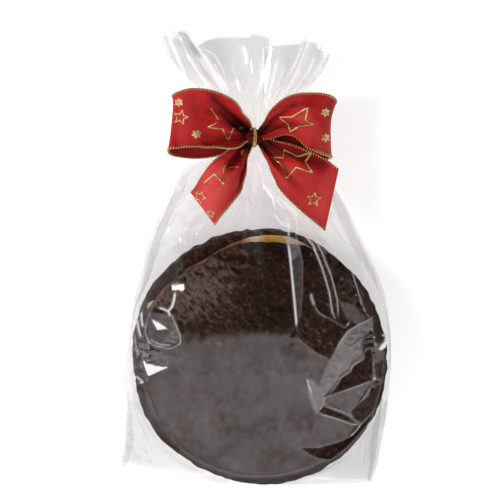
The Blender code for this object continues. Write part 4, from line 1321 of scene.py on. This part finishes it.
def star_outline(middle, radius, turn, inner, tips):
    corners = []
    for k in range(2 * tips):
        r = radius if k % 2 == 0 else radius * inner
        angle = math.radians(turn) + math.pi * k / tips
        corners.append((middle[0] + r * math.cos(angle), middle[1] - r * math.sin(angle)))
    return corners


def laid_on(band, share, path):
    """(points, normals) on a band, facing the front view, where it shows the marks of a path."""
    rows = band.rows(share)
    grid, normals = band.points[rows], band.normal[rows]
    shown = marks_of(grid)
    laid, faced = [], []
    for mark in path:
        gap = np.linalg.norm(shown - mark, axis=-1)
        nearest = np.argpartition(gap.ravel(), 6)[:6]
        weight = 1 / (gap.ravel()[nearest, None] + 0.05) ** 2
        weight /= weight.sum()
        i, j = np.unravel_index(nearest, gap.shape)
        normal = unit((normals[i, j] * weight).sum(axis=0))
        place = (grid[i, j] * weight).sum(axis=0)
        # Move it within the surface until the front view shows it at the mark.
        off = (mark - marks_of(place)) * MARK_MM
        slide = RIGHT * off[0] - UP * off[1]
        laid.append(place + slide - BACK * (slide @ normal) / (BACK @ normal))
        faced.append(normal if normal @ BACK > 0 else -normal)
    return np.array(laid), np.array(faced)


def foil_stars(bands):
    """Thin foil pressed on the outside of the ribbon: lines along marks, each laid onto its band."""
    shape = bmesh.new()

    def strip(name, share, closed, half_width, marks):
        corners = [np.array(m, float) for m in marks]
        ends = corners[1:] + corners[:1] if closed else corners[1:]
        path = []
        for a, b in zip(corners, ends):
            steps = max(2, int(np.linalg.norm(b - a) * MARK_MM / 0.4))
            path += [a + (b - a) * t for t in np.linspace(0, 1, steps, endpoint=False)]
        if not closed:
            path.append(corners[-1])
        laid, faced = laid_on(bands[name], share, path)
        sideways = unit(np.cross(directions(laid, closed), faced))
        lifted = laid + faced * (RIBBON_THICKNESS / 2 + FOIL_LIFT)
        edges = [lifted - sideways * half_width, lifted + sideways * half_width]
        near, far = ([shape.verts.new((q + ORIGIN) * MM) for q in edge] for edge in edges)
        for k in range(len(laid) if closed else len(laid) - 1):
            n = (k + 1) % len(laid)
            shape.faces.new((near[k], far[k], far[n], near[n]))

    for line in FOIL_LINES:
        strip(*line)
    for name, share, middle, radius, turn, kind in FOIL_STARS:
        if kind == "open":
            strip(name, share, True, 0.24, star_outline(middle, radius, turn, 0.42, 5))
            continue
        for size in (0.85, 0.5, 0.2):
            outline = star_outline(middle, radius * size, turn, 0.5, 6)
            strip(name, share, True, 0.17 * radius * MARK_MM, outline)
    mesh = bpy.data.meshes.new("foil_stars")
    bmesh.ops.recalc_face_normals(shape, faces=shape.faces)
    shape.to_mesh(mesh)
    shape.free()
    mesh.shade_smooth()
    return thicken(link("foil_stars", mesh), 0.05)


STRAND_RADIUS = 0.42
CORD_TURNS = 11


def tie_cords():
    """Two gold strands twisted together, once over the bow's middle and once round the neck."""
    cords = Tubes()
    x, y, z = np.eye(3)
    neck = np.array([NECK[0], KNOT[1] + 2.2, NECK[2]])
    rings = [
        (KNOT, y * (KNOT_HALF[1] - 0.6), z * (KNOT_HALF[2] + 1.2)),
        (neck, x * (NECK_RADIUS + 1.6), z * (NECK_RADIUS + 1.6)),
    ]
    for middle, a, b in rings:
        flat = unit(np.cross(a, b))
        for strand in (0, math.pi):
            path = []
            for t in np.linspace(0, 2 * math.pi, 220, endpoint=False):
                out = a * math.cos(t) + b * math.sin(t)
                twist = CORD_TURNS * t + strand
                about = unit(out) * math.cos(twist) * 0.8 + flat * math.sin(twist) * 1.2
                path.append(middle + out + STRAND_RADIUS * about)
            cords.add(path, STRAND_RADIUS, sides=8, closed=True)
    return cords.make("tie_cord")


# ---------------------------------------------------------------- camera, light and floor


def to_world(point):
    return Vector((np.array(point, float) + ORIGIN) * MM)


def aim_at(obj, target):
    obj.rotation_euler = (target - obj.location).to_track_quat("-Z", "Y").to_euler()


def add_light(name, place, target, width, height, radiance):
    """An area light. radiance is what a mirror would see in it."""
    data = bpy.data.lights.new(name, "AREA")
    data.shape = "RECTANGLE"
    data.size, data.size_y = width * MM, height * MM
    data.energy = radiance * math.pi * data.size * data.size_y
    obj = link(name, data)
    obj.location = to_world(place)
    aim_at(obj, to_world(target))
    obj.visible_camera = False


# Lights: name, place, target, width, height and radiance. The wide card below the bag's bottom edge is what
# the flat of the film mirrors.
CARD_HEIGHT = 705
LIGHTS = [
    ("low_card", (0, -135, CARD_HEIGHT / 2), (0, 0, CARD_HEIGHT / 2), 900, CARD_HEIGHT, 0.97),
    ("left_window", (-430, 100, 560), (0, -30, 20), 130, 150, 26.0),
    ("left_fill", (-560, -20, 230), (0, -20, 10), 120, 500, 2.2),
    ("right_strip", (560, 40, 420), (0, -20, 10), 60, 400, 6.0),
    ("left_card", (-430, 60, 225), (0, 60, 225), 500, 430, 0.9),
    ("right_card", (430, 60, 225), (0, 60, 225), 500, 430, 0.9),
]


def studio():
    scene = bpy.context.scene
    camera = bpy.data.cameras.new("front_view")
    camera.sensor_width = 36
    camera.lens = 36 * CAMERA_DISTANCE / (VIEW_MARKS * MARK_MM)
    obj = link("front_view", camera)
    aside = VIEW_MARKS / 2 - np.array(AIM_MARK)
    obj.location = to_world(EYE + (RIGHT * aside[0] - UP * aside[1]) * MARK_MM)
    obj.rotation_euler = Matrix((RIGHT, UP, BACK)).transposed().to_euler()
    scene.camera = obj

    mesh = bpy.data.meshes.new("floor")
    shape = bmesh.new()
    bmesh.ops.create_grid(shape, x_segments=8, y_segments=8, size=2.0)
    shape.to_mesh(mesh)
    shape.free()
    floor = link("floor", mesh)
    floor.location.z = -0.0002
    floor.data.materials.append(floor_material())

    for light in LIGHTS:
        add_light(*light)

    world = bpy.data.worlds.new("studio")
    scene.world = world
    world.use_nodes = True
    background = world.node_tree.nodes["Background"]
    background.inputs["Color"].default_value = (0.95, 0.97, 1.0, 1)
    background.inputs["Strength"].default_value = 0.045
    scene.view_settings.view_transform = "Standard"


# ---------------------------------------------------------------- everything together


def dress(obj, material, node):
    obj.data.materials.clear()
    obj.data.materials.append(material)
    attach(obj, "root")
    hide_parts(node)
    return obj


def main():
    clear = film_material()
    for made in (film_front(), film_back(), film_bottom(), film_frill()):
        dress(made, clear, "film_bag")

    chocolate, baked = chocolate_material(), wafer_material()
    front_at, back_at = BISCUIT_CENTRE + [0.0, -0.4], BISCUIT_CENTRE + [-0.9, 1.4]
    for made in (
        biscuit("biscuit_front", front_at, 18.4, 35.0, front=True, seed=3, reach=55.3, columns=480, rows=116),
        biscuit("biscuit_back", back_at, 0.4, 16.4, front=False, seed=8, reach=54.3, columns=420, rows=30),
    ):
        dress(made, chocolate, "film_bag")
    for made in (
        wafer("wafer_front", front_at + [0.2, 0.4], 17.6, 18.8, radius=52.7, seed=0.4, showing=1.6),
        wafer("wafer_back", back_at, 16.2, 17.3, radius=52.2, seed=1.9),
    ):
        dress(made, baked, "film_bag")

    bands = bow_bands()
    ribbon = dress(ribbon_mesh(bands), ribbon_material(), "ribbon_bow")
    thread = gold_material("gold_thread", (0.55, 0.30, 0.08), (0.95, 0.68, 0.34), 0.36, 2500.0)
    foil = gold_material("gold_foil", (0.50, 0.29, 0.10), (0.80, 0.56, 0.28), 0.36, 400.0)
    hem_gold = gold_material("hem_gold", (0.10, 0.012, 0.006), (0.22, 0.04, 0.016), 0.5, 1800.0)
    cord = gold_material("gold_cord", (0.40, 0.22, 0.05), (0.85, 0.62, 0.25), 0.3, 1500.0)
    hem, wraps = stitched_edges(bands)
    dress(hem, hem_gold, "ribbon_bow")
    dress(wraps, thread, "ribbon_bow")
    stars = dress(foil_stars(bands), foil, "ribbon_bow")
    dress(tie_cords(), cord, "gold_tie")

    studio()


main()
